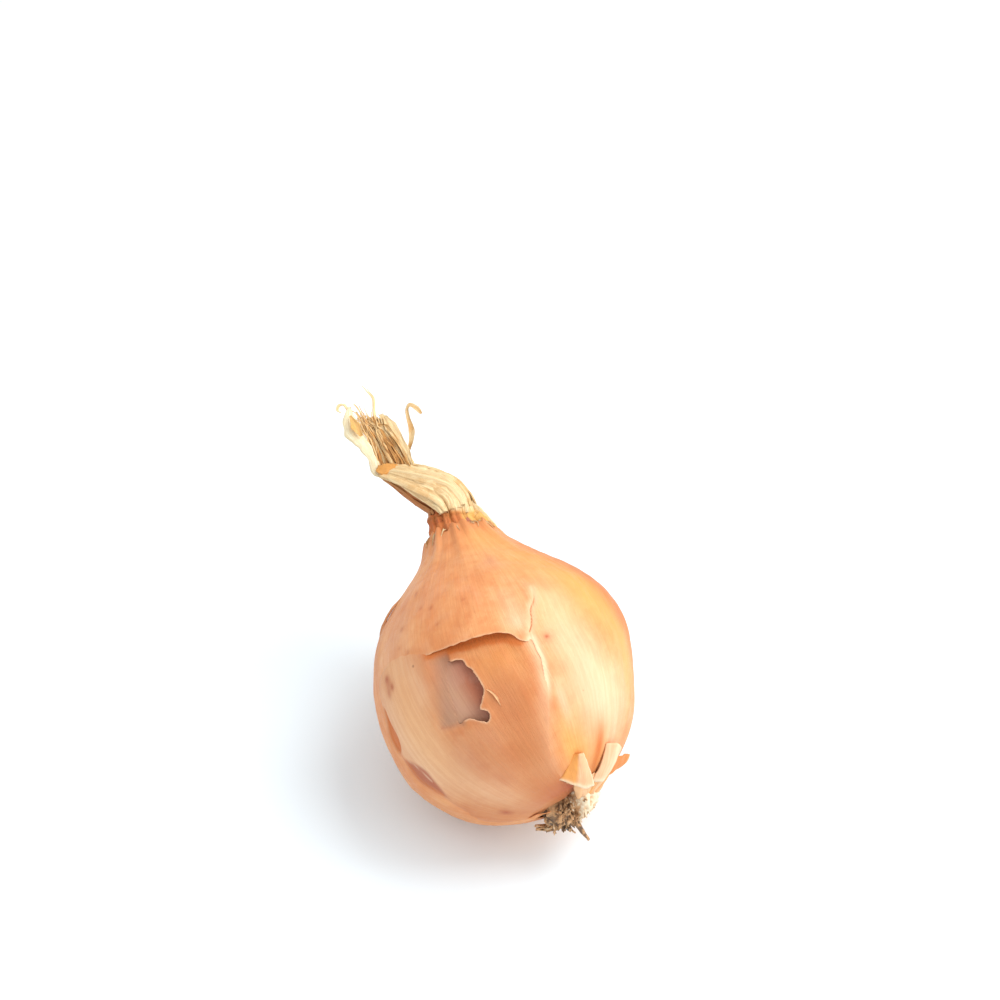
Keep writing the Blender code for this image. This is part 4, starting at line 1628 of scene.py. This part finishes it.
@dataclass(frozen=True)
class DryNeck:
    """The dry stalk: a pleated sheath bent over to one side, its ribbons and the frayed tuft at its tip."""

    line: tuple[Point, ...] = (
        (-6.9, 23.0, 5.7), (-7.8, 25.4, 6.3), (-8.6, 27.6, 6.7), (-9.0, 29.6, 6.9), (-10.2, 31.6, 7.0),
        (-13.2, 33.2, 7.0), (-17.0, 34.9, 7.0), (-20.5, 36.0, 7.0),
    )
    heights: tuple[float, ...] = (4.8, 4.5, 3.9, 3.8, 3.9, 3.6, 2.5, 1.3)
    depths: tuple[float, ...] = (4.8, 4.5, 3.9, 3.3, 2.9, 2.5, 1.9, 1.2)
    rings: int = 110
    sides: int = 150

    def frame_at(self, share: np.ndarray) -> tuple[np.ndarray, ...]:
        """Gives the stalk's middle line, its front and side ways, and its half sizes.

        Args:
            share: Places from the neck, 0, to the kink, 1.

        Returns:
            The centres, the front ways, the side ways, the half heights and the half depths.
        """
        line = SHAPE.placed(flowing(self.line, 16))
        centre = resampled(share, line)
        onward = unit(resampled(share, unit(np.gradient(line, axis=0))))
        front = -SHAPE.axes[2]
        front = unit(front - onward * (onward @ front)[:, None])
        side = np.cross(onward, front)
        steps = np.linspace(0, 1, len(self.heights))
        height, depth = np.interp(share, steps, self.heights), np.interp(share, steps, self.depths)
        return centre, front, side, height, depth

    def on_stalk(self, share: np.ndarray, angle: np.ndarray, lift: np.ndarray | float) -> np.ndarray:
        """Gives points on the stalk.

        Args:
            share: Places from the neck to the kink.
            angle: Places round it in degrees: 0 at the front, 90 at the right of the neck.
            lift: How far each stands off.

        Returns:
            The points.
        """
        centre, front, side, height, depth = self.frame_at(share)
        turned = np.radians(angle)
        out = front * (np.cos(turned) * (depth + lift))[:, None]
        return centre + out + side * (np.sin(turned) * (height + lift))[:, None]

    def pleats(self, share: np.ndarray, angle: np.ndarray) -> np.ndarray:
        """Gives how far each place stands on its pleat, 0 in a crease and 1 on a crest."""
        turned = np.radians(angle)
        warp = 0.9 * np.sin(2 * turned + 1.3) + 0.6 * np.sin(3 * turned + 4 * share) + 1.4 * share
        coarse = np.abs(np.cos(5.5 * turned + warp)) ** 0.6
        fine = np.abs(np.cos(13 * turned + 2.2 * warp + 3 * share)) ** 0.7
        return 0.62 * coarse + 0.38 * fine

    def sheath(self, straw: bpy.types.Material) -> None:
        """Builds the pleated sheath."""
        shares = np.linspace(0, 1, self.rings)
        angles = np.linspace(-180, 180, self.sides, endpoint=False)
        share, angle = (grid.ravel() for grid in np.meshgrid(shares, angles, indexing="ij"))
        crest = self.pleats(share, angle)
        size = np.interp(share, (0, 0.2, 0.35, 0.6, 1), (0.5, 0.9, 0.9, 0.70, 0.45))
        shape = self.on_stalk(share, angle, 0.0)
        rough = 0.12 * Ripple(31, 0.8, 4.0)(shape)
        wrinkle = 0.07 * np.sin(share * 95 + 2.0 * np.sin(np.radians(angle) * 3)) * swell(share - 0.24, 0.10)
        under = ease(-18, -27, angle) * ease(-178, -165, angle) * ease(0.36, 0.44, share)
        points = self.on_stalk(share, angle, size * (crest - 0.75) + rough + wrinkle * crest - 0.45 * under)
        tip = self.on_stalk(np.array([1.0]), np.array([0.0]), -self.depths[-1])
        root = self.on_stalk(np.array([0.0]), np.array([0.0]), -self.depths[0])
        faces = grid_faces(self.rings, self.sides, wrap=True, turned=True)
        last = (self.rings - 1) * self.sides
        for column in range(self.sides):
            onward = (column + 1) % self.sides
            faces.append((column, onward, len(points) + 1))
            faces.append((last + onward, last + column, len(points)))
        points = np.vstack([points, tip, root])
        share, angle, crest = np.append(share, (1, 0)), np.append(angle, (0, 0)), np.append(crest, (0, 0))
        # Painted shade: below the band's lip the underside is darker, greyer, redder and more golden, the
        # creases between pleats are painted dark, and a dark ring is painted just under the collar's lip. The
        # collar's front red is its own colour.
        low = ease(-16, -26, angle) * ease(-178, -160, angle)
        collar = ease(0.41, 0.33, share)
        front = 1 - ease(18, 34, angle) * ease(125, 100, angle)
        turned = np.radians(angle)
        lay = np.stack([np.cos(turned) * 2, np.sin(turned) * 2, share * 6], 1)
        collar_lip_shade = 0.5 * swell(share - 0.33, 0.035) * ease(70, 30, angle)
        underside_shade = 0.95 * low * ease(0.25, 0.38, share) * ease(0.95, 0.7, share)
        values = {
            "tone": np.clip(0.88 - 0.40 * low - 0.25 * collar, 0, 1),
            "crease": np.clip(0.80 * ease(0.62, 0.25, crest) + collar_lip_shade, 0, 1),
            "red": np.clip(0.85 * collar * front + underside_shade, 0, 1),
            "gold": 0.35 * collar + 0.30 * low + 0.4 * collar * (1 - front),
            "grey": 0.20 * low * ease(0.6, 0.8, share),
        }
        pile = Pile()
        pile.add(points, faces, lay=lay, **values)
        settle(pile.made("pleated_sheath", straw), Slot.STRAW, "neck_sheath")

    def ribbons(self, straw: bpy.types.Material) -> None:
        """Lays loose ribbons over the sheath."""
        draw = np.random.default_rng(12)
        pile = Pile()
        for number, base in enumerate(np.linspace(-48, 312, 26, endpoint=False)):
            base += draw.uniform(-5, 5)
            front = -15 < base < 115
            start = draw.uniform(0.34, 0.42) if front else draw.uniform(0.30, 0.45)
            end = draw.uniform(0.94, 1.0) if front else draw.uniform(0.75, 1.0)
            share = np.linspace(start, end, 8)
            drift = draw.uniform(-16, 16) * (share - start) / (end - start) * (1 if front else 0.4)
            wander = 4 * np.sin(share * draw.uniform(5, 9) + draw.uniform(0, 6))
            angle = base + drift + wander
            lift = draw.uniform(0.02, 0.30) + 0.10 * np.sin(share * 12 + number)
            if front:
                lift = lift * np.array([2.4, 1.7, 1.2, 1, 1, 1, 0.9, 0.6])
            else:
                lift = lift * np.array([0.1, 0.8, 1, 1, 1, 1, 0.9, 0.6]) - 0.35 * ease(0.36, 0.46, share)
            line = SHAPE.measured(self.on_stalk(share, angle, lift))
            outer = SHAPE.measured(self.on_stalk(share, angle, lift + 1.0)) - line
            wide = draw.uniform(0.7, 1.5)
            # Ribbons on the underside are darker, greyer and redder: painted shade under the band.
            underside = base < -16 or base > 190
            strip = Strip(
                tuple(map(tuple, line)), (wide * 0.8, wide, wide * 0.9, wide * 0.7, wide * 0.4),
                facing=tuple(map(tuple, outer)), cup=draw.uniform(-0.35, -0.1),
                tone=draw.uniform(0.30, 0.62) if underside else draw.uniform(0.72, 0.98), crimp=0.07,
                steps=5, seed=40 + number,
            )
            grey, red = (draw.uniform(0.0, 0.25), draw.uniform(0.35, 0.8)) if underside else (0.0, 0.0)
            strip.laid(pile, grey=grey, red=red)
        for number, base in enumerate((-19, -15, -10)):
            share = np.linspace(0.37, 1.0, 10)
            angle = base + 2 * np.sin(share * 9 + number) + 7 * ease(0.6, 0.37, share)
            angle = angle - 6 * ease(0.9, 1.0, share)
            lift = 0.35 + 0.12 * number + 0.10 * np.sin(share * 14 + 2 * number)
            line = SHAPE.measured(self.on_stalk(share, angle, lift))
            outer = SHAPE.measured(self.on_stalk(share, angle + 14, lift + 1.0)) - line
            Strip(
                tuple(map(tuple, line)), (1.3, 1.7, 1.5, 1.1, 0.7), facing=tuple(map(tuple, outer)),
                cup=-0.35, tone=0.97 - 0.08 * number, crimp=0.08, steps=5, seed=75 + number,
            ).laid(pile)
        settle(pile.made("sheath_ribbons", straw), Slot.STRAW)

    def wing(self, straw: bpy.types.Material) -> None:
        """Builds the raised pleat at the right of the neck."""
        pile = Pile()
        Strip(
            ((0.7, 24.3, 5.0), (-0.9, 25.8, 5.0), (-2.2, 27.5, 5.2), (-3.9, 29.4, 5.6), (-5.5, 31.0, 6.0)),
            (0.3, 1.0, 1.3, 1.2, 0.6), facing=(0.3, 0.3, -1.0), cup=-0.35, tone=0.95, seed=71,
        ).laid(pile)
        Strip(
            ((-0.2, 24.6, 4.8), (-2.0, 26.2, 4.8), (-3.6, 27.8, 5.0), (-5.2, 29.4, 5.6)),
            (0.3, 1.3, 1.6, 1.2), facing=(0.1, 0.3, -1.0), cup=0.15, tone=0.78, crimp=0.16, seed=72,
        ).laid(pile, gold=0.5)
        Strip(
            ((0.9, 24.2, 4.6), (-1.2, 25.4, 4.1), (-2.9, 26.9, 4.0), (-4.7, 28.6, 4.3)),
            (0.5, 1.7, 2.2, 1.5), facing=(0.0, 0.2, -1.0), cup=-0.15, tone=0.72, crimp=0.10, seed=73,
        ).laid(pile, gold=0.7)
        settle(pile.made("neck_wing", straw), Slot.STRAW, "neck_fold")

    def flecks(self, straw: bpy.types.Material) -> None:
        """Hangs small pale flecks where the papery skin ends."""
        draw = np.random.default_rng(5)
        pile = Pile()
        for number, turn in enumerate(np.linspace(-100, 150, 24)):
            turn += draw.uniform(-5, 5)
            low = draw.uniform(25.2, 26.6)
            line = skin_line(
                (27.5, turn, 0.0), (26.8, turn + draw.uniform(-2, 2), 0.42),
                (low, turn + draw.uniform(-5, 5), 0.30),
            )
            Strip(
                line, (draw.uniform(0.2, 0.5), draw.uniform(0.15, 0.45), 0.08), cup=0.1, thick=0.10,
                tone=draw.uniform(0.7, 1.0), steps=4, across=5, seed=90 + number,
            ).laid(pile, red=draw.choice((0.0, 0.0, 0.35)))
        settle(pile.made("collar_flecks", straw), Slot.STRAW)

    def tuft(
        self, strands: StrandTree, straw: bpy.types.Material, brown: bpy.types.Material,
        pale: bpy.types.Material,
    ) -> None:
        """Builds the leaves and fibres past the kink.

        Args:
            strands: The shared strand tree.
            straw: The straw finish.
            brown: The brown fibre finish.
            pale: The palest leaf's finish.
        """
        pile = Pile()
        Strip(
            (
                (-19.6, 35.6, 6.6), (-20.9, 35.9, 6.3), (-21.7, 37.9, 5.8), (-23.0, 40.0, 5.5),
                (-24.9, 42.5, 5.5), (-25.5, 44.6, 6.0), (-25.6, 46.6, 6.6),
            ),
            (1.0, 1.7, 1.4, 1.8, 3.3, 2.2, 0.4),
            facing=(
                (0.1, 0.4, -1.0), (0.0, 0.3, -1.0), (0.0, 0.3, -1.0), (0.1, 0.3, -1.0), (0.3, 0.3, -1.0),
            ),
            cup=-0.16, thick=0.18, tone=1.0, crimp=0.12, seed=51,
        ).laid(pile)
        settle(pile.made("cream_leaf", pale), Slot.STRAW, "pale_leaf")

        pile = Pile()
        Strip(
            ((-23.5, 41.6, 5.1), (-24.5, 43.2, 5.0), (-25.4, 45.0, 5.4)), (0.6, 1.5, 0.4), tone=0.75,
            crimp=0.14, seed=52,
        ).laid(pile, gold=0.65)
        Strip(
            ((-17.6, 36.9, 5.9), (-18.8, 36.5, 5.5), (-20.0, 36.2, 5.4), (-21.0, 36.4, 5.8)),
            (0.4, 1.7, 2.1, 1.0), cup=-0.10, tone=0.6, crimp=0.16, seed=53,
        ).laid(pile, gold=0.8, red=0.3)
        settle(pile.made("inner_patches", straw), Slot.STRAW)

        pile = Pile()
        shifts = (
            (0.0, 6.4), (0.45, 6.0), (-0.55, 6.9), (0.2, 7.3), (-0.9, 5.8), (-0.2, 5.6), (-1.3, 6.1),
            (-1.8, 6.4),
        )
        for number, (shift, depth) in enumerate(shifts):
            wide = 1.0 if number < 4 else 0.45
            Strip(
                (
                    (-15.4 + 0.5 * shift, 36.6, depth + 0.3), (-16.5 + shift, 39.2, depth),
                    (-17.9 + shift, 41.5, depth), (-19.3 + shift, 43.3, depth + 0.1),
                    (-20.5 + shift * 1.6, 45.4 - 0.4 * number, depth + 0.3),
                ),
                (0.4 * wide, 0.9 * wide, 1.5 * wide, 1.8 * wide, 0.9 * wide), cup=0.2,
                twist=(-20 + 12 * number, 25 - 14 * number), tone=0.96 - 0.06 * number, crimp=0.16,
                seed=60 + number,
            ).laid(pile)
        settle(pile.made("frayed_straw_leaf", straw), Slot.STRAW, "frayed_leaf")

        fan = []
        for share in np.linspace(0, 1, 7):
            low, high = (-20.6 + 5.4 * share, 37.0), (-24.8 + 4.4 * share, 46.2 - 1.2 * share)
            middle = ((low[0] + high[0]) / 2 + 0.5 - 0.7 * share, (low[1] + high[1]) / 2)
            stops = ((-19.2 + 2 * share, 35.2, 7.0), (*low, 6.8), (*middle, 6.6), (*high, 7.0))
            fan.append(SHAPE.placed(flowing(stops, 5)))
        core = strands.grow(
            "core_fibres", fan, brown, Count=14, Spread=0.75, Wave=1.3, Thick=0.15, Shortest=0.74, Taper=0.5,
            Tone=0.20, Tone_Range=0.80, Tip_Tone=1.0, Seed=4,
        )
        settle(core, Slot.FIBRE, "brown_core")

        draw = np.random.default_rng(8)
        pile = Pile()
        for number in range(26):
            share = (number + 0.5) / 26 + draw.uniform(-0.03, 0.03)
            reach = draw.uniform(0.45, 1.0)
            low = np.array((-20.3 + 4.8 * share, 36.9))
            high = low + (np.array((-24.6 + 4.3 * share, 46.0 - 1.2 * share)) - low) * reach
            bend = (low + high) / 2 + draw.uniform(-0.4, 0.4, 2)
            back = draw.uniform(6.0, 8.2)
            Strip(
                (
                    (*low, back), (*bend, back - draw.uniform(0, 0.6)),
                    (*high, back + draw.uniform(-0.5, 0.5)),
                ),
                (draw.uniform(0.3, 0.7), draw.uniform(0.4, 0.9), 0.15),
                twist=tuple(draw.uniform(-50, 50, 2)), cup=draw.uniform(-0.5, 0.5), thick=0.10,
                tone=draw.choice((0.15, 0.35, 0.6, 0.8, 0.95)), crimp=0.22, steps=8, across=5,
                seed=110 + number,
            ).laid(pile)
        settle(pile.made("core_shreds", brown), Slot.FIBRE)
        self.loose_ends(strands, straw)

    def loose_ends(self, strands: StrandTree, straw: bpy.types.Material) -> None:
        """Builds the hooked strand, the wisps and the curl at the tip."""
        pile = Pile()
        Strip(
            (
                (-14.5, 36.6, 6.9), (-15.9, 38.6, 6.9), (-15.5, 40.9, 6.8), (-15.4, 42.8, 6.9),
                (-15.9, 44.7, 6.9), (-16.1, 46.2, 6.9), (-15.6, 46.9, 6.9), (-14.6, 46.3, 7.0),
                (-13.8, 45.5, 7.1),
            ),
            (0.35, 0.45, 0.75, 0.95, 0.7, 0.5, 0.6, 0.8, 0.3), twist=(30, -30), cup=0.45, tone=0.72,
            crimp=0.1, across=7, seed=81,
        ).laid(pile)
        settle(pile.made("hooked_strand", straw), Slot.STRAW, "curled_strand")
        lines = [
            SHAPE.placed(flowing(stops, 6)) for stops in (
                (
                    (-21.0, 43.6, 6.7), (-21.5, 45.6, 6.6), (-21.6, 47.8, 6.6), (-22.4, 49.0, 6.7),
                    (-23.4, 50.3, 6.8),
                ),
                ((-23.3, 44.8, 6.5), (-24.3, 46.4, 6.4), (-25.3, 47.4, 6.4)),
            )
        ]
        wisps = strands.grow(
            "standing_wisps", lines, straw, Count=3, Spread=0.16, Wave=0.35, Thick=0.16, Shortest=0.8,
            Taper=0.6, Tone=0.9, Tone_Range=0.15, Seed=6,
        )
        settle(wisps, Slot.STRAW, "wisp")
        stops = (
            (-25.8, 46.0, 6.8), (-26.5, 47.0, 6.8), (-27.3, 46.9, 6.8), (-27.6, 46.1, 6.8),
            (-26.9, 45.7, 6.9),
        )
        curl = SHAPE.placed(flowing(stops, 6))
        tip = strands.grow(
            "tip_curl", [curl], straw, Count=5, Spread=0.22, Wave=0.3, Thick=0.16, Shortest=0.7, Taper=0.4,
            Tone=1.0, Tone_Range=0.1, Seed=9,
        )
        settle(tip, Slot.STRAW, "tip_fibre")

    def build(self, effects: Effects, strands: StrandTree) -> None:
        """Builds and dresses the whole neck.

        Args:
            effects: The shared shader groups.
            strands: The shared strand tree.
        """
        straw = StrawFinish("shallot_straw").made(effects)
        brown = StrawFinish(
            "shallot_brown_fibre", dark=(0.27, 0.10, 0.03), straw=(0.76, 0.40, 0.13),
            cream=(0.90, 0.68, 0.36), rough=0.7,
        ).made(effects)
        # The palest leaf's finish is brighter than the straw: the leaf's own cream, raised in part as painted
        # light for light coming through the thin leaf.
        pale = StrawFinish(
            "shallot_pale_leaf", straw=(0.95, 0.72, 0.38), cream=(1.0, 0.92, 0.66),
            crease=(0.75, 0.48, 0.20),
        ).made(effects)
        self.sheath(straw)
        self.ribbons(straw)
        self.wing(straw)
        self.flecks(straw)
        self.tuft(strands, straw, brown, pale)


# ---------------------------------------------------------------- the root end


@dataclass(frozen=True)
class RootEnd:
    """The corky root plate with its trimmed dead roots."""

    profile: tuple[Stop, ...] = (
        (4.3, -1.3), (4.6, -0.4), (4.6, 0.4), (4.2, 1.2), (3.4, 1.9), (2.2, 2.4), (0.8, 2.6),
    )
    rings: int = 46
    sides: int = 110
    stubs: int = 120
    spread: float = 4.3
    shrink: float = 0.34
    sink: float = 1.3

    def placed(self, places: np.ndarray) -> np.ndarray:
        """Turns (across, up, out) places at the root end into points."""
        heading = -SHAPE.root_way
        facing = unit(np.array((0, 0, 1.0)) - heading * heading[2])
        sideways = np.cross(heading, facing)
        centre = SHAPE.spine(np.array(-SHAPE.root_end))[0]
        return centre + np.asarray(places, float) @ np.array([sideways, facing, SHAPE.root_way])

    @staticmethod
    def tones(places: np.ndarray) -> np.ndarray:
        """Gives the tissue's tone: dark at the lower left, cream at the right."""
        return 0.24 + 0.52 * ease(-1.8, 1.6, places[:, 0] + 0.15 * places[:, 1])

    @staticmethod
    def sunken(places: np.ndarray) -> np.ndarray:
        """Gives where the plate has shrunk back from the skin, at its upper left, as 0 to 1."""
        return ease(1.0, -0.9, places[:, 0]) * ease(-0.6, 2.4, places[:, 1])

    def knob(self, root: bpy.types.Material) -> None:
        """Builds the plate itself."""
        radius, out = resampled(np.linspace(0, 1, self.rings), flowing(self.profile, 8)).T
        angle = np.linspace(0, 2 * math.pi, self.sides, endpoint=False)
        across, up = np.outer(radius, np.cos(angle)), np.outer(radius, np.sin(angle))
        places = np.stack([across, up, np.repeat(out[:, None], self.sides, 1)], 2).reshape(-1, 3)
        angles = np.tile(angle, self.rings)
        ridged = 0.20 * np.sin(angles * 17 + 1.5 * np.sin(angles * 5))
        lumps = 0.30 * Ripple(15, 0.7, 2.6)(places) + ridged
        outward = unit(places * (1, 1, 0.6) + (0, 0, 0.3))
        sunken = self.sunken(places)
        narrow = (1 - self.shrink * sunken)[:, None]
        places = places * np.hstack([narrow, narrow, np.ones_like(narrow)])
        places = places + outward * (lumps - self.sink * sunken)[:, None]
        places = np.vstack([places, (0, 0, out[-1]), (0, 0, out[0])])
        faces = grid_faces(self.rings, self.sides, wrap=True)
        last, count = (self.rings - 1) * self.sides, self.rings * self.sides
        for column in range(self.sides):
            onward = (column + 1) % self.sides
            faces.append((last + column, last + onward, count))
            faces.append((onward, column, count + 1))
        pile = Pile()
        lumps = np.append(lumps, (0, 0))
        pile.add(self.placed(places), faces, tone=np.clip(self.tones(places) + 0.5 * lumps, 0, 1))
        settle(pile.made("root_knob", root), Slot.ROOT, "root_plate")

    def bristles(self, strands: StrandTree, root: bpy.types.Material) -> None:
        """Grows the trimmed roots in a dark, a tan and a cream group."""
        draw = np.random.default_rng(7)
        groups: dict[str, list[np.ndarray]] = {"dark": [], "tan": [], "cream": []}
        for _ in range(self.stubs):
            angle, share = draw.uniform(0, 2 * math.pi), draw.uniform(0.05, 1.0) ** 0.5
            wide = self.spread * share
            base = np.array((wide * math.cos(angle), wide * math.sin(angle), 2.3 - 2.0 * share**3))
            hidden = float(self.sunken(base[None])[0])
            way = unit(np.array((base[0] * 0.24, base[1] * 0.24, 1.0)) + draw.normal(0, 0.28, 3))
            narrow = 1 - self.shrink * hidden
            base = base * (narrow, narrow, 1) - way * self.sink * hidden
            pale = ease(-0.5, 1.5, base[0])
            way = unit(way * (1 - 0.65 * pale) + np.array((0.0, -0.75, 0.0)) * pale)
            long = draw.uniform(0.7, 2.1) * (1.15 - 0.35 * share) * (1 - 0.5 * pale) * (1 - 0.6 * hidden)
            bent = way + draw.normal(0, 0.35, 3)
            line = [base - way * 0.5, base + way * long * 0.5, base + (way + bent) * long * 0.5]
            tone = float(self.tones(base[None])[0]) + draw.uniform(-0.2, 0.2)
            name = "dark" if tone < 0.34 else "tan" if tone < 0.62 else "cream"
            groups[name].append(self.placed(np.array(line)))
        for lot in range(6):
            across = 0.6 + 0.75 * lot
            stops = (
                (across, 3.0 - 0.3 * lot, 0.9), (across + 0.2, 0.7, 2.5 - 0.35 * lot),
                (across - 0.5, -3.0, 1.3),
            )
            groups["cream"] += [self.placed(flowing(stops, 5)) for _ in range(3)]
            stops = (
                (1.8, -2.0 - 0.3 * lot, 2.0), (-1.5, -2.9 - 0.22 * lot, 1.7), (-4.2, -3.4 - 0.1 * lot, 0.9),
                (-6.2, -3.0, 0.2),
            )
            groups["dark" if lot % 2 else "tan"] += [self.placed(flowing(stops, 4)) for _ in range(3)]
        nodes = {"dark": (1, 2, 3), "tan": (4, 5), "cream": (6, 7)}
        tones = {"dark": 0.24, "tan": 0.50, "cream": 0.80}
        for name, lines in groups.items():
            piece = strands.grow(
                f"{name}_roots", lines, root, Count=3, Spread=0.42, Wave=0.70, Thick=0.16, Shortest=0.6,
                Taper=0.35, Tone=tones[name], Tone_Range=0.55, Seed=11 + len(name),
            )
            settle(piece, Slot.ROOT, *(f"root_stub_{number}" for number in nodes[name]))

    def dangling(self, root: bpy.types.Material) -> None:
        """Builds the longest root, which hangs below the rest."""
        pile = Pile()
        for number, lean in enumerate((0.0, 95.0)):
            Strip(
                ((10.8, -19.6, -4.6), (11.3, -20.8, -5.1), (12.0, -22.0, -5.1), (13.3, -23.5, -4.9)),
                (0.7, 0.9, 0.9, 0.7, 0.4), twist=(lean, lean + 60), cup=-0.5, thick=0.34, tone=0.26,
                crimp=0.12, seed=130 + number,
            ).laid(pile)
        settle(pile.made("dangling_root", root), Slot.ROOT, "long_root")

    def build(self, effects: Effects, strands: StrandTree) -> None:
        """Builds and dresses the root end.

        Args:
            effects: The shared shader groups.
            strands: The shared strand tree.
        """
        root = RootFinish().made(effects)
        self.knob(root)
        self.bristles(strands, root)
        self.dangling(root)


class SkinTabs:
    """Torn flaps of papery skin round the root plate, and loose flakes on the front."""

    def build(self, effects: Effects) -> None:
        """Builds and dresses the flaps and flakes."""
        finish = SkinFinish("shallot_torn_flaps", streaks=0.35, veins=0.18).made(effects)
        # The wide flap's left face is amber with a little shade: partly the skin's own orange, partly painted
        # shade on the side turned from the light. Its right face is cream.
        pile = Pile()
        Patch(
            ((-16.8, -2.0, 0.03), (-16.6, 0.5, 0.8), (-16.9, 4.2, 0.6)),
            ((-18.7, -18.5, 0.02), (-19.5, -8.0, 1.0), (-20.1, 4.0, 1.5), (-20.3, 20.0, 1.2)), bulge=0.25,
            seed=2,
        ).laid(pile, amber=(0.92, 0.16), pale=(0.0, 0.42), shade=(0.16, 0.03))
        settle(pile.made("wide_flap", finish), Slot.OUTER, "wide_tab")
        pile = Pile()
        Patch(
            ((-17.2, 27.0, 0.3), (-17.1, 33.0, 1.1), (-17.6, 39.0, 1.4), (-18.4, 45.0, 0.6)),
            ((-20.3, 20.0, 0.5), (-20.2, 28.0, 1.1), (-20.2, 36.0, 1.3), (-20.3, 44.0, 0.6)), bulge=0.3,
            seed=3,
        ).laid(pile, amber=(0.3, 0.1), pale=(0.6, 0.8))
        settle(pile.made("narrow_flap", finish), Slot.OUTER, "narrow_tab")
        # The side flap is deep orange: partly the skin's own colour, partly a painted glow of light through
        # the thin flap, with painted shade.
        pile = Pile()
        Patch(
            ((-18.7, 46.0, 0.4), (-18.6, 56.0, 0.8), (-18.3, 66.0, 1.0), (-18.0, 76.0, 1.5)),
            ((-20.4, 44.0, 0.4), (-20.2, 54.0, 0.7), (-19.8, 64.0, 0.9), (-19.1, 76.0, 1.3)), seed=4,
        ).laid(pile, amber=(1.0, 1.0), brown=(0.4, 0.4), shade=(0.55, 0.55))
        settle(pile.made("side_flap", finish), Slot.OUTER, "side_tab")
        draw = np.random.default_rng(18)
        pile = Pile()
        for number, turn in enumerate((1.0, 8.0, 15.0, 22.0, 29.0, 37.0, 45.0, 54.0, 64.0)):
            low = turn + draw.uniform(-7, 7)
            start = -19.8 if 8 <= turn <= 27 else -18.9
            Strip(
                skin_line((start, turn, 0.15), (-20.3, (turn + low) / 2, 0.55), (-20.9, low, 1.0)),
                (draw.uniform(1.4, 2.0), draw.uniform(1.7, 2.4), draw.uniform(0.8, 1.6)),
                facing=(0.4, -0.6, -0.7), cup=-0.2, thick=0.10, crimp=0.15, steps=6, seed=150 + number,
            ).laid(pile, amber=draw.uniform(0.3, 0.8), pale=draw.uniform(0.0, 0.6), edge=0.1)
        settle(pile.made("root_scales", finish), Slot.OUTER)
        pile = Pile()
        Strip(
            skin_line((-2.6, -26.6, -0.16), (-3.6, -25.0, 0.02), (-4.7, -24.3, 0.05), (-6.2, -24.6, -0.12)),
            (0.15, 0.38, 0.34, 0.1), cup=0.5, thick=0.08, crimp=0.04, seed=141,
        ).laid(pile, edge=0.25, amber=0.4)
        Strip(
            skin_line((12.6, -87, 0.1), (14.4, -86.5, 0.5), (16.2, -85, 0.6), (18.6, -82, 0.2)),
            (0.2, 0.6, 0.6, 0.2), facing=(-0.8, 0.2, -0.6), cup=0.3, thick=0.09, seed=142,
        ).laid(pile, edge=0.1, brown=0.6)
        settle(pile.made("loose_flakes", finish), Slot.OUTER)


# ---------------------------------------------------------------- the studio


@dataclass(frozen=True)
class Studio:
    """A pale floor, soft studio light and the camera."""

    sight: Point = (0.0, -0.24435, 0.31180)
    tilt: float = math.radians(90 - 45.38)
    yaw: float = 0.00277
    lens: float = 85.0
    sky: float = 0.90
    key_power: float = 1.15
    key_place: Point = (0.20, 0.05, 0.40)
    key_size: float = 0.26
    side_power: float = 0.95
    side_place: Point = (0.44, -0.14, 0.22)
    side_size: float = 0.34

    def lamp(self, name: str, place: Point, power: float, size: float) -> None:
        """Hangs a square soft light that looks at the bulb.

        Args:
            name: The light's name.
            place: Where it hangs, in metres.
            power: Its power in watts.
            size: Its width in metres.
        """
        light = bpy.data.lights.new(name, "AREA")
        light.energy, light.size = power, size
        lamp = bpy.data.objects.new(name, light)
        lamp.location = place
        aim = Vector((0.0, 0.0, 0.02)) - Vector(place)
        lamp.rotation_euler = aim.to_track_quat("-Z", "Y").to_euler()
        bpy.context.scene.collection.objects.link(lamp)

    def build(self) -> None:
        """Sets up the floor, the lights, the sky and the camera."""
        scene = bpy.context.scene
        scene.view_settings.view_transform = "Standard"
        mesh = bpy.data.meshes.new("floor")
        mesh.from_pydata([(-3, -3, 0), (3, -3, 0), (3, 3, 0), (-3, 3, 0)], [], [(0, 1, 2, 3)])
        floor = bpy.data.objects.new("floor", mesh)
        scene.collection.objects.link(floor)
        material, _, shader = new_material("pale_floor")
        shader.inputs["Base Color"].default_value = (0.84, 0.925, 0.975, 1.0)
        shader.inputs["Roughness"].default_value = 0.9
        shader.inputs["Specular IOR Level"].default_value = 0.1
        mesh.materials.append(material)
        self.lamp("key_light", self.key_place, self.key_power, self.key_size)
        self.lamp("side_light", self.side_place, self.side_power, self.side_size)
        world = bpy.data.worlds.new("sky")
        world.use_nodes = True
        background = world.node_tree.nodes["Background"]
        background.inputs["Color"].default_value = (1.0, 1.0, 1.0, 1.0)
        background.inputs["Strength"].default_value = self.sky
        scene.world = world
        data = bpy.data.cameras.new("camera")
        data.lens, data.sensor_width = self.lens, 36.0
        data.clip_start, data.clip_end = 0.01, 20.0
        camera = bpy.data.objects.new("camera", data)
        camera.location = self.sight
        camera.rotation_euler = (self.tilt, 0.0, self.yaw)
        scene.collection.objects.link(camera)
        scene.camera = camera


def main() -> None:
    """Builds the shallot from the flesh outwards, then the studio."""
    logging.basicConfig(level=logging.INFO, format="%(name)s: %(message)s")
    effects = Effects()
    strands = StrandTree()
    Flesh().build(effects)
    TightSkin().build(effects)
    PaperySkin().build(effects)
    DryNeck().build(effects, strands)
    RootEnd().build(effects, strands)
    SkinTabs().build(effects)
    Studio().build()


if __name__ == "__main__":
    main()
